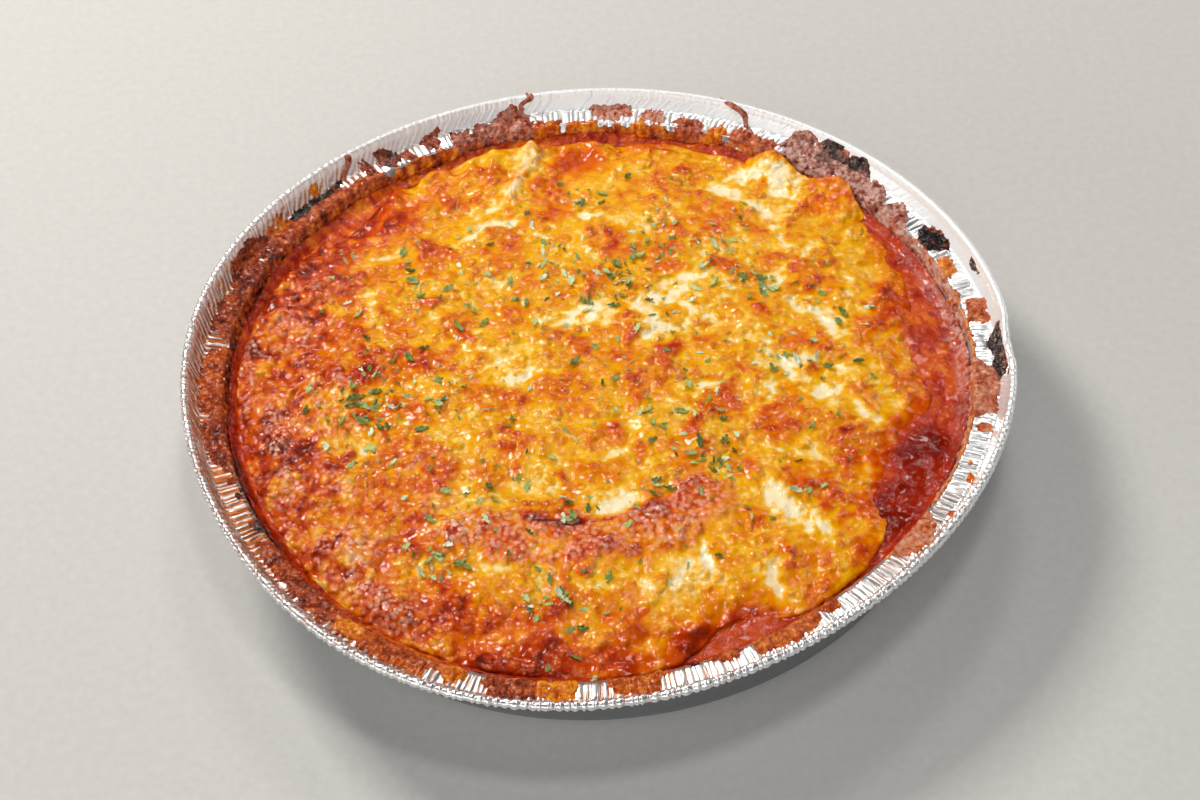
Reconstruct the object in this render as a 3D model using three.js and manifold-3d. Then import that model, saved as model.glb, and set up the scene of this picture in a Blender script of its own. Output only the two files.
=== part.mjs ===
// A lasagna baked in its round foil pan: the pan, the sauced pasta that fills it, the browned
// cheese on top with its parsley flakes, and the ruffled edge of one pasta sheet.
// Millimetres, +Z up. The origin lies under the middle of the rim's outline, on the surface
// that the pan stands on. Angles count from +X towards +Y.
import * as THREE from 'three';
import { mergeVertices } from 'three/addons/utils/BufferGeometryUtils.js';
import Module from 'manifold-3d';

const wasm = await Module();
wasm.setup();

const degrees = THREE.MathUtils.degToRad;

// The pan, a round one sold as 9 inches: a foot ring round a slightly raised panel, a leaning
// wall, a flat ledge, a steep flange and a rolled hem.
const RIM_RADIUS = 114;
const PAN_HEIGHT = 36;
const FOIL = 0.6;
const PANEL_RADIUS = 80;
const PANEL_LIFT = 0.8;
const FOOT_INNER_RADIUS = 82;
const FOOT_RADIUS = 93.5;
const CORNER_RUN = 4.1;
const CORNER_RISE = 4.5;
const LEDGE_INNER_RADIUS = 103.6;
const LEDGE_HEIGHT = 29.4;
const LEDGE_WIDTH = 6;
const FLANGE_RUN = 2.4;
const HEM_RADIUS = 1.3;

// Foil pressed from a flat disc folds into pleats. The solid has coarse ones.
const PLEATS = 72;
const PLEAT_DEPTH = 0.6;
const HEM_PLEAT_SHARE = 0.35;
const PAN_COLUMNS = 2 * PLEATS;

// Handling has bent the rim out of round, by these sizes for each number of lobes, and has
// dented the flange on the right. The round foot's middle is that far from the rim's.
const RIM_BENDS = [
  { lobes: 2, size: 0.7, at: degrees(-75) },
  { lobes: 3, size: 1.8, at: degrees(15) },
  { lobes: 4, size: 0.9, at: degrees(-15) },
];
const FOOT_CENTRE = new THREE.Vector3(-1.3, 1.3, 0);
const DENT = { at: degrees(-3), half: degrees(4), depth: 1.3 };

// The food. Neighbouring solids keep this gap.
const GAP = 0.3;
const FOOD_COLUMNS = 80;
const CHEESE_FLOOR = 24.3;
const CHEESE_MIDDLE = 29.9;
const CHEESE_FALL = 3.6;
const CHEESE_LEAN = 0.6;
const CHEESE_RADIUS = 99.7;
const CHEESE_ROUNDING = 1.3;
const CHEESE_RINGS = 12;

// Bays where the cheese stops short of the wall and the sauce shows, by angle, half width
// and depth: the pool, the band beside it, and smaller ones round the edge.
const BAYS = [
  { at: degrees(-27), half: degrees(12.5), depth: 13 },
  { at: degrees(3), half: degrees(19), depth: 9.5 },
  { at: degrees(136), half: degrees(9), depth: 2.5 },
  { at: degrees(198), half: degrees(14), depth: 1.5 },
  { at: degrees(289), half: degrees(7), depth: 7 },
];

// Swells of the cheese: a toasted crescent near the front, a puffed stretch of its edge on
// the left, and a blister that has risen against the far wall.
const SWELLS = [
  { at: degrees(268), half: degrees(33), radius: 59, width: 7, height: 0.9 },
  { at: degrees(205), half: degrees(60), radius: 90, width: 7, height: 0.7 },
  { at: degrees(104), half: degrees(6), radius: 97, width: 7, height: 2.2 },
];
const WAVES = { count: 7, height: 0.16, shortest: 15, growth: 3.2 };

const SAUCE_LEVEL = 25.2;
const CRUST_HEIGHT = 26.9;
const CRUST_WIDTH = 0.8;

// The ruffled pasta edge that lies on the cheese at the far right. It rises in two humps,
// and the higher one leans out over the ledge.
const RUFFLE = {
  from: degrees(34), to: degrees(59), inner: 90, outer: 100.3, thickness: 1.2,
  lift: 0.8, rise: 4, lean: 2.6, clearance: 9,
};
const HUMPS = [
  { at: degrees(41), half: degrees(4), share: 1 },
  { at: degrees(54), half: degrees(3.5), share: 0.7 },
];

// Parsley flakes: the heaps that they fell in, as place, spread and number, then single ones.
const FLAKE_HEAPS = [
  { x: -61, y: -5, spread: 8, count: 10 },
  { x: -43, y: -10, spread: 8, count: 5 },
  { x: 54, y: -3, spread: 4, count: 4 },
  { x: 7, y: 36, spread: 7, count: 8 },
  { x: 23, y: 50, spread: 7, count: 5 },
  { x: 42, y: 43, spread: 8, count: 6 },
  { x: 45, y: 30, spread: 5, count: 3 },
  { x: 33, y: -38, spread: 7, count: 6 },
  { x: 18, y: -24, spread: 5, count: 4 },
  { x: -17, y: -76, spread: 6, count: 7 },
  { x: -45, y: -63, spread: 6, count: 5 },
];
const SINGLE_FLAKES = 35;
const FLAKE_REACH = 76;
const FLAKE_LENGTH = { least: 1.8, most: 4.2 };
const FLAKE_WIDTH_SHARE = 0.6;
const FLAKE_THICKNESS = 0.7;
const FLAKE_TILT = degrees(7);
const FLAKE_SIDES = 5;

const FOIL_FINISH = { color: 0xc9cace, roughness: 0.35, metalness: 0.9 };
const SAUCE_FINISH = { color: 0x8a2410, roughness: 0.3, metalness: 0 };
const CHEESE_FINISH = { color: 0xd9891c, roughness: 0.4, metalness: 0 };
const PASTA_FINISH = { color: 0xe7b84e, roughness: 0.45, metalness: 0 };

// How far the bent rim stands out at an angle.
function rimBend(angle) {
  return RIM_BENDS.reduce((sum, bend) => sum + bend.size * Math.cos(bend.lobes * (angle - bend.at)), 0);
}

// 1 at the middle of a stretch of the round, falling away past its half width.
function nearness(angle, stretch) {
  const away = Math.atan2(Math.sin(angle - stretch.at), Math.cos(angle - stretch.at));
  return Math.exp(-((away / stretch.half) ** 2));
}

// A point of the round form, moved as the bent rim moves it: fully at the rim, not at the foot.
function settle(radius, height, angle) {
  const bent = radius * (1 + (rimBend(angle) * height) / (RIM_RADIUS * PAN_HEIGHT));
  return new THREE.Vector3(bent * Math.cos(angle), bent * Math.sin(angle), height);
}

// A closed body made of rows that run round it, from the axis below to the axis above. A row
// is a function that gives the radius and height at an angle.
function revolve(rows, columns) {
  const last = rows.length - 1;
  const profile = rows.map((row, index) => new THREE.Vector2(index % last === 0 ? 0 : 1, index));
  const geometry = new THREE.LatheGeometry(profile, columns);
  const position = geometry.attributes.position;
  for (let index = 0; index < position.count; index += 1) {
    const column = Math.floor(index / rows.length) % columns;
    const angle = (column * 2 * Math.PI) / columns;
    const place = rows[index % rows.length](angle);
    const point = settle(place.radius, place.height, angle);
    position.setXYZ(index, point.x, point.y, point.z);
  }
  return weld(geometry);
}

// The same mesh with its vertices shared and without the empty triangles at a pole.
function weld(geometry) {
  geometry.deleteAttribute('normal');
  geometry.deleteAttribute('uv');
  const merged = mergeVertices(geometry);
  const corners = merged.index.array;
  const kept = [];
  for (let index = 0; index < corners.length; index += 3) {
    const [a, b, c] = corners.slice(index, index + 3);
    if (a !== b && b !== c && c !== a) kept.push(a, b, c);
  }
  merged.setIndex(kept);
  merged.computeVertexNormals();
  return merged;
}

// A welded mesh as a solid that can be cut and joined, and the way back.
function toSolid(geometry) {
  const vertProperties = Float32Array.from(geometry.attributes.position.array);
  const triVerts = Uint32Array.from(geometry.index.array);
  return new wasm.Manifold(new wasm.Mesh({ numProp: 3, vertProperties, triVerts }));
}

function toGeometry(solid) {
  const { vertProperties, triVerts } = solid.getMesh();
  const geometry = new THREE.BufferGeometry();
  geometry.setAttribute('position', new THREE.BufferAttribute(vertProperties, 3));
  geometry.setIndex(new THREE.BufferAttribute(triVerts, 1));
  geometry.computeVertexNormals();
  return geometry;
}

// The left side of a step from one point to the next.
function leftOf(from, to) {
  const step = to.clone().sub(from).normalize();
  return new THREE.Vector2(-step.y, step.x);
}

// The same line of points moved to its left by a distance, with its corners kept.
function offsetLine(points, distance) {
  const last = points.length - 1;
  return points.map((point, index) => {
    const start = Math.min(Math.max(index - 1, 0), last - 1);
    const end = Math.min(index, last - 1);
    const before = leftOf(points[start], points[start + 1]);
    const after = leftOf(points[end], points[end + 1]);
    return point.clone().addScaledVector(before.clone().add(after), distance / (1 + before.dot(after)));
  });
}

// The outer face of the base and wall, as radius and height, from the axis up to the ledge.
const WALL_LINE = [
  new THREE.Vector2(0, PANEL_LIFT),
  new THREE.Vector2(PANEL_RADIUS, PANEL_LIFT),
  new THREE.Vector2(FOOT_INNER_RADIUS, 0),
  new THREE.Vector2(FOOT_RADIUS, 0),
  new THREE.Vector2(FOOT_RADIUS + 0.75 * CORNER_RUN, 0.3 * CORNER_RISE),
  new THREE.Vector2(FOOT_RADIUS + CORNER_RUN, CORNER_RISE),
  new THREE.Vector2(LEDGE_INNER_RADIUS, LEDGE_HEIGHT),
];

// The ledge and the flange that follow it, up to the hem.
const FLANGE_FOOT = new THREE.Vector2(LEDGE_INNER_RADIUS + LEDGE_WIDTH, LEDGE_HEIGHT + 0.3);
const FLANGE_TOP = new THREE.Vector2(FLANGE_FOOT.x + FLANGE_RUN, PAN_HEIGHT - 2 * HEM_RADIUS);

// The food's line inside the wall, and its radius at a height on the wall.
const FOOD_LINE = offsetLine(WALL_LINE, FOIL + GAP);

function foodWallRadius(height) {
  const [low, high] = FOOD_LINE.slice(-2);
  return THREE.MathUtils.mapLinear(height, low.y, high.y, low.x, high.x);
}

// Share of the pleats' depth: none on the wall, all on the flange, a little on the hem.
function pleatShare(point) {
  const ledge = THREE.MathUtils.clamp((point.x - LEDGE_INNER_RADIUS) / LEDGE_WIDTH, 0, 1);
  return point.y > FLANGE_TOP.y - 0.1 ? HEM_PLEAT_SHARE : ledge;
}

// A row of the pan. Pleats lift it and draw it in by turns, and the dent pushes the flange in.
function panRow(point) {
  const depth = 0.5 * PLEAT_DEPTH * pleatShare(point);
  const dentShare = THREE.MathUtils.smoothstep(point.y, LEDGE_HEIGHT, PAN_HEIGHT);
  return (angle) => {
    const pleat = depth * Math.cos(PLEATS * angle);
    const dent = DENT.depth * dentShare * nearness(angle, DENT);
    return { radius: point.x - 0.6 * pleat - dent, height: point.y + 0.8 * pleat * (1 - dentShare) };
  };
}

function foilPan() {
  const outside = [...WALL_LINE, FLANGE_FOOT, FLANGE_TOP];
  const inside = offsetLine(outside, FOIL).reverse();
  const hemMiddle = new THREE.Vector2(RIM_RADIUS - HEM_RADIUS, PAN_HEIGHT - HEM_RADIUS);
  const hem = [-60, 0, 60, 120].map((turn) => new THREE.Vector2(
    hemMiddle.x + HEM_RADIUS * Math.cos(degrees(turn)),
    hemMiddle.y + HEM_RADIUS * Math.sin(degrees(turn)) / Math.sin(degrees(60)),
  ));
  return revolve([...outside, ...hem, ...inside].map(panRow), PAN_COLUMNS);
}

// The cheese's outline: nearly at the wall, drawn back at the bays, and ragged.
function cheeseEdge(angle) {
  const bays = BAYS.reduce((sum, bay) => sum + bay.depth * nearness(angle, bay), 0);
  return CHEESE_RADIUS - bays + 0.3 * Math.cos(9 * angle + 1) + 0.2 * Math.cos(14 * angle + 2);
}

// Gentle waves of many directions, each a little longer than the one before.
function waves(x, y) {
  let height = 0;
  for (let index = 0; index < WAVES.count; index += 1) {
    const heading = index * degrees(137.5);
    const along = x * Math.cos(heading) + y * Math.sin(heading);
    height += WAVES.height * Math.cos((2 * Math.PI * along) / (WAVES.shortest + WAVES.growth * index) + 2.4 * index);
  }
  return height;
}

// The height of the cheese: a low dome that leans to the back, with its swells and waves.
function cheeseHeight(radius, angle) {
  const dome = CHEESE_MIDDLE - CHEESE_FALL * (radius / cheeseEdge(angle)) ** 3;
  const lean = -CHEESE_LEAN * (radius / CHEESE_RADIUS) * Math.sin(angle);
  const swell = SWELLS.reduce((sum, part) => {
    const across = Math.exp(-(((radius - part.radius) / part.width) ** 2));
    return sum + part.height * across * nearness(angle, part);
  }, 0);
  return dome + lean + swell + waves(radius * Math.cos(angle), radius * Math.sin(angle));
}

// The browned cheese, flat below, with a rounded edge.
function cheeseLayer() {
  const edgeRow = (inward, drop) => (angle) => {
    const radius = cheeseEdge(angle) - inward;
    return { radius, height: cheeseHeight(radius, angle) - drop };
  };
  const ring = (share) => (angle) => {
    const radius = share * (cheeseEdge(angle) - CHEESE_ROUNDING);
    return { radius, height: cheeseHeight(radius, angle) };
  };
  const rings = Array.from({ length: CHEESE_RINGS + 1 }, (_, index) => ring(1 - index / CHEESE_RINGS));
  return revolve([
    () => ({ radius: 0, height: CHEESE_FLOOR }),
    (angle) => ({ radius: cheeseEdge(angle), height: CHEESE_FLOOR }),
    edgeRow(0, 0.9),
    ...rings,
  ], FOOD_COLUMNS);
}

// The sauced pasta: it fills the pan, lies flat under the cheese, shows as sauce where the
// cheese stops short, and has baked up the wall as an uneven crust.
function lasagnaBody() {
  const crustTop = (angle) => CRUST_HEIGHT + 0.5 * Math.cos(7 * angle + 1) + 0.4 * Math.cos(17 * angle)
    - CHEESE_LEAN * Math.sin(angle);
  const sauceTop = (angle) => SAUCE_LEVEL + 0.25 * Math.cos(11 * angle) + 0.2 * Math.cos(5 * angle + 2);
  const shore = (angle) => cheeseEdge(angle) + GAP;
  const crustFoot = (angle) => foodWallRadius(crustTop(angle)) - CRUST_WIDTH;
  const wallRows = FOOD_LINE.slice(0, -1).map((point) => () => ({ radius: point.x, height: point.y }));
  return revolve([
    ...wallRows,
    (angle) => ({ radius: foodWallRadius(crustTop(angle)), height: crustTop(angle) }),
    (angle) => ({ radius: crustFoot(angle), height: 0.5 * (crustTop(angle) + sauceTop(angle)) }),
    (angle) => ({ radius: 0.5 * (crustFoot(angle) + shore(angle)), height: sauceTop(angle) }),
    (angle) => ({ radius: shore(angle), height: sauceTop(angle) }),
    (angle) => ({ radius: shore(angle), height: CHEESE_FLOOR - GAP }),
    () => ({ radius: 0, height: CHEESE_FLOOR - GAP }),
  ], FOOD_COLUMNS);
}

// The ruffled edge lies on the cheese and rises in waves towards its outer side. Grown, it is
// the room that the cheese leaves for it.
function ruffle(grow) {
  const geometry = new THREE.BoxGeometry(1, 1, 1, 3, 16, 1);
  const position = geometry.attributes.position;
  const margin = grow / RUFFLE.outer;
  for (let index = 0; index < position.count; index += 1) {
    const across = position.getX(index) + 0.5;
    const along = position.getY(index) + 0.5;
    const upper = position.getZ(index) > 0;
    const angle = THREE.MathUtils.lerp(RUFFLE.from - margin, RUFFLE.to + margin, along);
    const hump = HUMPS.reduce((sum, part) => sum + part.share * nearness(angle, part), 0);
    const outer = RUFFLE.outer + grow + RUFFLE.lean * hump;
    const radius = THREE.MathUtils.lerp(RUFFLE.inner - grow, outer, across);
    const rise = across ** 2 * (RUFFLE.lift + RUFFLE.rise * hump);
    const under = cheeseHeight(Math.min(radius, RUFFLE.outer), angle) + rise - grow;
    const over = grow > 0 ? RUFFLE.clearance : RUFFLE.thickness;
    const point = settle(radius, upper ? under + over : under, angle);
    position.setXYZ(index, point.x, point.y, point.z);
  }
  return weld(geometry);
}

// Draws from 0 to 1, the same at each run.
function drawsFrom(seed) {
  let state = seed;
  return () => {
    state = (state * 1664525 + 1013904223) % 4294967296;
    return state / 4294967296;
  };
}

// Where the flakes fell: in their heaps, and singly all over the middle.
function flakePlaces(draw) {
  const places = [];
  FLAKE_HEAPS.forEach((heap) => {
    for (let index = 0; index < heap.count; index += 1) {
      const away = heap.spread * Math.sqrt(draw());
      const turn = 2 * Math.PI * draw();
      places.push({ x: heap.x + away * Math.cos(turn), y: heap.y + away * Math.sin(turn) });
    }
  });
  for (let index = 0; index < SINGLE_FLAKES; index += 1) {
    const away = FLAKE_REACH * Math.sqrt((index + 0.5) / SINGLE_FLAKES);
    const turn = index * degrees(137.5) + 0.6 * draw();
    places.push({ x: away * Math.cos(turn), y: away * Math.sin(turn) });
  }
  return places;
}

// A flake: a thin chip of five sides, set into the surface below it and turned at random.
function flake(hit, draw) {
  const length = THREE.MathUtils.lerp(FLAKE_LENGTH.least, FLAKE_LENGTH.most, draw() ** 2);
  const chip = new THREE.CylinderGeometry(1, 1, FLAKE_THICKNESS, FLAKE_SIDES);
  chip.scale(0.5 * length, 1, 0.5 * length * FLAKE_WIDTH_SHARE);
  chip.rotateY(2 * Math.PI * draw());
  chip.rotateX(FLAKE_TILT * (2 * draw() - 1));
  const upright = new THREE.Quaternion().setFromUnitVectors(new THREE.Vector3(0, 1, 0), hit.face.normal);
  chip.applyQuaternion(upright);
  chip.translate(hit.point.x, hit.point.y, hit.point.z);
  return weld(chip);
}

// The cheese with the room for the ruffled edge cut out and the flakes fused on.
function toppedCheese() {
  const draw = drawsFrom(20);
  const cheese = cheeseLayer();
  const surface = new THREE.Mesh(cheese);
  const down = new THREE.Vector3(0, 0, -1);
  let solid = toSolid(cheese).subtract(toSolid(ruffle(GAP)));
  flakePlaces(draw).forEach((place) => {
    const above = new THREE.Vector3(place.x, place.y, 2 * PAN_HEIGHT);
    const [hit] = new THREE.Raycaster(above, down).intersectObject(surface);
    solid = solid.add(toSolid(flake(hit, draw)));
  });
  return toGeometry(solid);
}

const lasagna = new THREE.Group();
lasagna.position.copy(FOOT_CENTRE);

function addPart(name, geometry, finish) {
  const mesh = new THREE.Mesh(geometry, new THREE.MeshStandardMaterial(finish));
  mesh.name = name;
  lasagna.add(mesh);
}

addPart('foil_pan', foilPan(), FOIL_FINISH);
addPart('lasagna_body', lasagnaBody(), SAUCE_FINISH);
addPart('cheese_top', toppedCheese(), CHEESE_FINISH);
addPart('pasta_edge', ruffle(0), PASTA_FINISH);

export default lasagna;
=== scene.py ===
"""The looks of a lasagna baked in its round foil pan.

The pieces are made in millimetres round the middle of the pan's foot, from the same sizes as
the solids, and go into the shared frame in metres when their meshes are made. Angles count
from +X towards +Y. A run is a distance along the foil from the inner corner of its ledge.
"""

from __future__ import annotations

import logging
import math
from collections.abc import Callable, Iterable
from dataclasses import dataclass, field
from enum import Enum

import bpy
import numpy as np
from mathutils import Matrix, Vector
from mathutils.bvhtree import BVHTree


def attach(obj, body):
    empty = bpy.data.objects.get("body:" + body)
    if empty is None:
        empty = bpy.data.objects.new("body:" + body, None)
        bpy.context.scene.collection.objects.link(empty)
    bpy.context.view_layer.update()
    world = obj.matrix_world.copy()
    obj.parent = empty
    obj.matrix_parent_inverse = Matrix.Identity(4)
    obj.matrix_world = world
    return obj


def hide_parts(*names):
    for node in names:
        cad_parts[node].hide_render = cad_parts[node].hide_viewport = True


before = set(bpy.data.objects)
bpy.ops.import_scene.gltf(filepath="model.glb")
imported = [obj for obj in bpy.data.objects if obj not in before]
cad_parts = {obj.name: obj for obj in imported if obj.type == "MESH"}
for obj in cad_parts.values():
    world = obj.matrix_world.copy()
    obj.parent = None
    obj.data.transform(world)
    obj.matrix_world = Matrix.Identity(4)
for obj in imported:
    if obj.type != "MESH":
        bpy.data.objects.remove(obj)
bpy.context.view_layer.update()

LOG = logging.getLogger("lasagna")
Array = np.ndarray
Fields = dict[str, Array]
Stops = tuple[tuple[float, str], ...]
MM = 0.001
TURN = 2 * math.pi
GOLDEN = math.radians(137.5)
ORIGIN = (0.0, 0.0, 0.0)
SHAPES = ("First Leaf", "Second Leaf", "Third Leaf", "Stem")


class Slot(Enum):
    """The record's material slots."""

    FOIL = "foil"
    SAUCE = "sauce"
    CHEESE = "cheese"
    PASTA = "pasta"
    PARSLEY = "parsley"
    CRUST = "baked_crust"


# ---------------------------------------------------------------- fields in the plane

# Large odd numbers that scatter neighbouring places, and the bits that are kept.
SCATTER_COLUMN, SCATTER_ROW, SCATTER_SEED, SCATTER_AGAIN = 374761393, 668265263, 1442695041, 1274126177
WORD, FRACTION = 0xFFFFFFFF, 0xFFFFFF


def draws(column: Array, row: Array, seed: int) -> Array:
    """Draw from 0 to 1 for each whole-number place, the same at each run.

    Args:
        column: Whole numbers along one direction.
        row: Whole numbers along the other.
        seed: The number of the draw.

    Returns:
        The draws.
    """
    mixed = (column * SCATTER_COLUMN + row * SCATTER_ROW + seed * SCATTER_SEED) & WORD
    mixed = ((mixed ^ (mixed >> 13)) * SCATTER_AGAIN) & WORD
    return ((mixed ^ (mixed >> 16)) & FRACTION) / float(FRACTION)


def places(x: Array, y: Array, size: float) -> tuple[Array, Array, Array, Array]:
    """Split a plane into square cells.

    Args:
        x: Places along x, in millimetres.
        y: Places along y.
        size: A cell's side.

    Returns:
        The cells' columns and rows, and each place inside its cell.
    """
    # The start lies far off, so that no pattern has its first cell on the food.
    across, up = x / size + 1000.0, y / size + 1000.0
    column, row = np.floor(across).astype(np.int64), np.floor(up).astype(np.int64)
    return column, row, across - column, up - row


def slope_noise(x: Array, y: Array, size: float, seed: int) -> Array:
    """Smooth noise, about -1 to 1, with features as wide as size.

    Args:
        x: Places along x, in millimetres.
        y: Places along y.
        size: The width of a feature.
        seed: The number of the pattern.

    Returns:
        The noise at each place.
    """
    column, row, across, up = places(x, y, size)
    ease_x = across**3 * (across * (across * 6 - 15) + 10)
    ease_y = up**3 * (up * (up * 6 - 15) + 10)
    total = 0.0
    for right in (0, 1):
        for top in (0, 1):
            turn = TURN * draws(column + right, row + top, seed)
            slope = np.cos(turn) * (across - right) + np.sin(turn) * (up - top)
            share = (ease_x if right else 1 - ease_x) * (ease_y if top else 1 - ease_y)
            total = total + share * slope
    return 1.5 * total


def cloud(x: Array, y: Array, size: float, seed: int, octaves: int = 3) -> Array:
    """Noise with finer noise on it.

    Args:
        x: Places along x, in millimetres.
        y: Places along y.
        size: The width of the largest feature.
        seed: The number of the pattern.
        octaves: How many sizes it has, each half the one before.

    Returns:
        The noise at each place.
    """
    total = 0.0
    for octave in range(octaves):
        total = total + 0.55**octave * slope_noise(x, y, size / 2**octave, seed + 17 * octave)
    return total


def domes(x: Array, y: Array, spacing: float, seed: int, fill: float = 0.8) -> Array:
    """Round tops scattered over the plane, such as bubbles that have browned.

    Args:
        x: Places along x, in millimetres.
        y: Places along y.
        spacing: The distance between neighbours.
        seed: The number of the pattern.
        fill: The share of places that have one.

    Returns:
        The height of the tallest at each place, from 0 to 1.
    """
    column, row, across, up = places(x, y, spacing)
    tallest = np.zeros_like(across)
    for right in (-1, 0, 1):
        for top in (-1, 0, 1):
            cell = (column + right, row + top)
            middle_x = right + 0.15 + 0.7 * draws(*cell, seed)
            middle_y = top + 0.15 + 0.7 * draws(*cell, seed + 1)
            reach = 0.34 + 0.3 * draws(*cell, seed + 2)
            away = ((across - middle_x) ** 2 + (up - middle_y) ** 2) / reach**2
            height = np.clip(1 - away, 0, 1) * (0.45 + 0.55 * draws(*cell, seed + 4))
            tallest = np.maximum(tallest, np.where(draws(*cell, seed + 3) < fill, height, 0))
    return tallest


def ease(low: float, high: float, value: Array) -> Array:
    """Rise smoothly from 0 at low to 1 at high."""
    share = np.clip((value - low) / (high - low), 0, 1)
    return share * share * (3 - 2 * share)


def swell(distance: Array, width: float) -> Array:
    """Fall away smoothly from 1 where the distance is 0."""
    return np.exp(-((distance / width) ** 2))


def line_distance(x: Array, y: Array, points: tuple[tuple[float, float], ...]) -> Array:
    """Measure how far places are from a line of straight stretches.

    Args:
        x: Places along x, in millimetres.
        y: Places along y.
        points: The line's corners.

    Returns:
        The distances.
    """
    nearest = np.full(np.shape(x), np.inf)
    for (ax, ay), (bx, by) in zip(points, points[1:]):
        run_x, run_y = bx - ax, by - ay
        share = ((x - ax) * run_x + (y - ay) * run_y) / (run_x**2 + run_y**2)
        share = np.clip(share, 0, 1)
        nearest = np.minimum(nearest, np.hypot(x - ax - share * run_x, y - ay - share * run_y))
    return nearest


@dataclass(frozen=True)
class Stretch:
    """A stretch of the round: its middle and half width in degrees, and its amount."""

    at: float
    half: float
    amount: float = 1.0

    def share(self, angle: Array) -> Array:
        """Return the amount at each angle, in radians, falling away past the half width."""
        away = np.angle(np.exp(1j * (angle - math.radians(self.at))))
        return self.amount * swell(away, math.radians(self.half))


@dataclass(frozen=True)
class Spot:
    """A soft oval on the food: its middle, length and width in millimetres, turn, amount."""

    x: float
    y: float
    length: float
    width: float
    turn: float = 0.0
    amount: float = 1.0

    def share(self, x: Array, y: Array) -> Array:
        """Return the amount at each place, falling away past the oval's edge.

        Args:
            x: Places along x, in millimetres.
            y: Places along y.

        Returns:
            The amounts.
        """
        cosine, sine = math.cos(math.radians(self.turn)), math.sin(math.radians(self.turn))
        along = (x - self.x) * cosine + (y - self.y) * sine
        across = (y - self.y) * cosine - (x - self.x) * sine
        return self.amount * swell(2 * along, self.length) * swell(2 * across, self.width)


@dataclass(frozen=True)
class Swell:
    """A raised or marked stretch of a ring: where it is, its radius and its width."""

    stretch: Stretch
    radius: float
    width: float

    def share(self, radius: Array, angle: Array) -> Array:
        """Return the amount at each place."""
        return self.stretch.share(angle) * swell(radius - self.radius, self.width)


def summed(parts: Iterable[Stretch | Spot | Swell], *place: Array) -> Array:
    """Add up what the parts amount to at each place."""
    return sum(part.share(*place) for part in parts)


def weighed(features: Fields, weights: dict[str, float]) -> Array:
    """Add up features of a surface, each by its weight; "always" is there everywhere."""
    return sum(weight * features.get(label, 1.0) for label, weight in weights.items())


# ---------------------------------------------------------------- the shared form


def offset_line(points: Array, distance: float) -> Array:
    """Move a line of points to its left, with its corners kept.

    Args:
        points: The line, as rows of radius and height.
        distance: How far to move it.

    Returns:
        The moved line.
    """
    steps = np.diff(points, axis=0)
    steps = steps / np.linalg.norm(steps, axis=1, keepdims=True)
    left = np.stack([-steps[:, 1], steps[:, 0]], axis=1)
    index = np.arange(len(points))
    before = left[np.clip(index - 1, 0, len(left) - 1)]
    after = left[np.clip(index, 0, len(left) - 1)]
    share = distance / (1 + np.sum(before * after, axis=1, keepdims=True))
    return points + (before + after) * share


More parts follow.
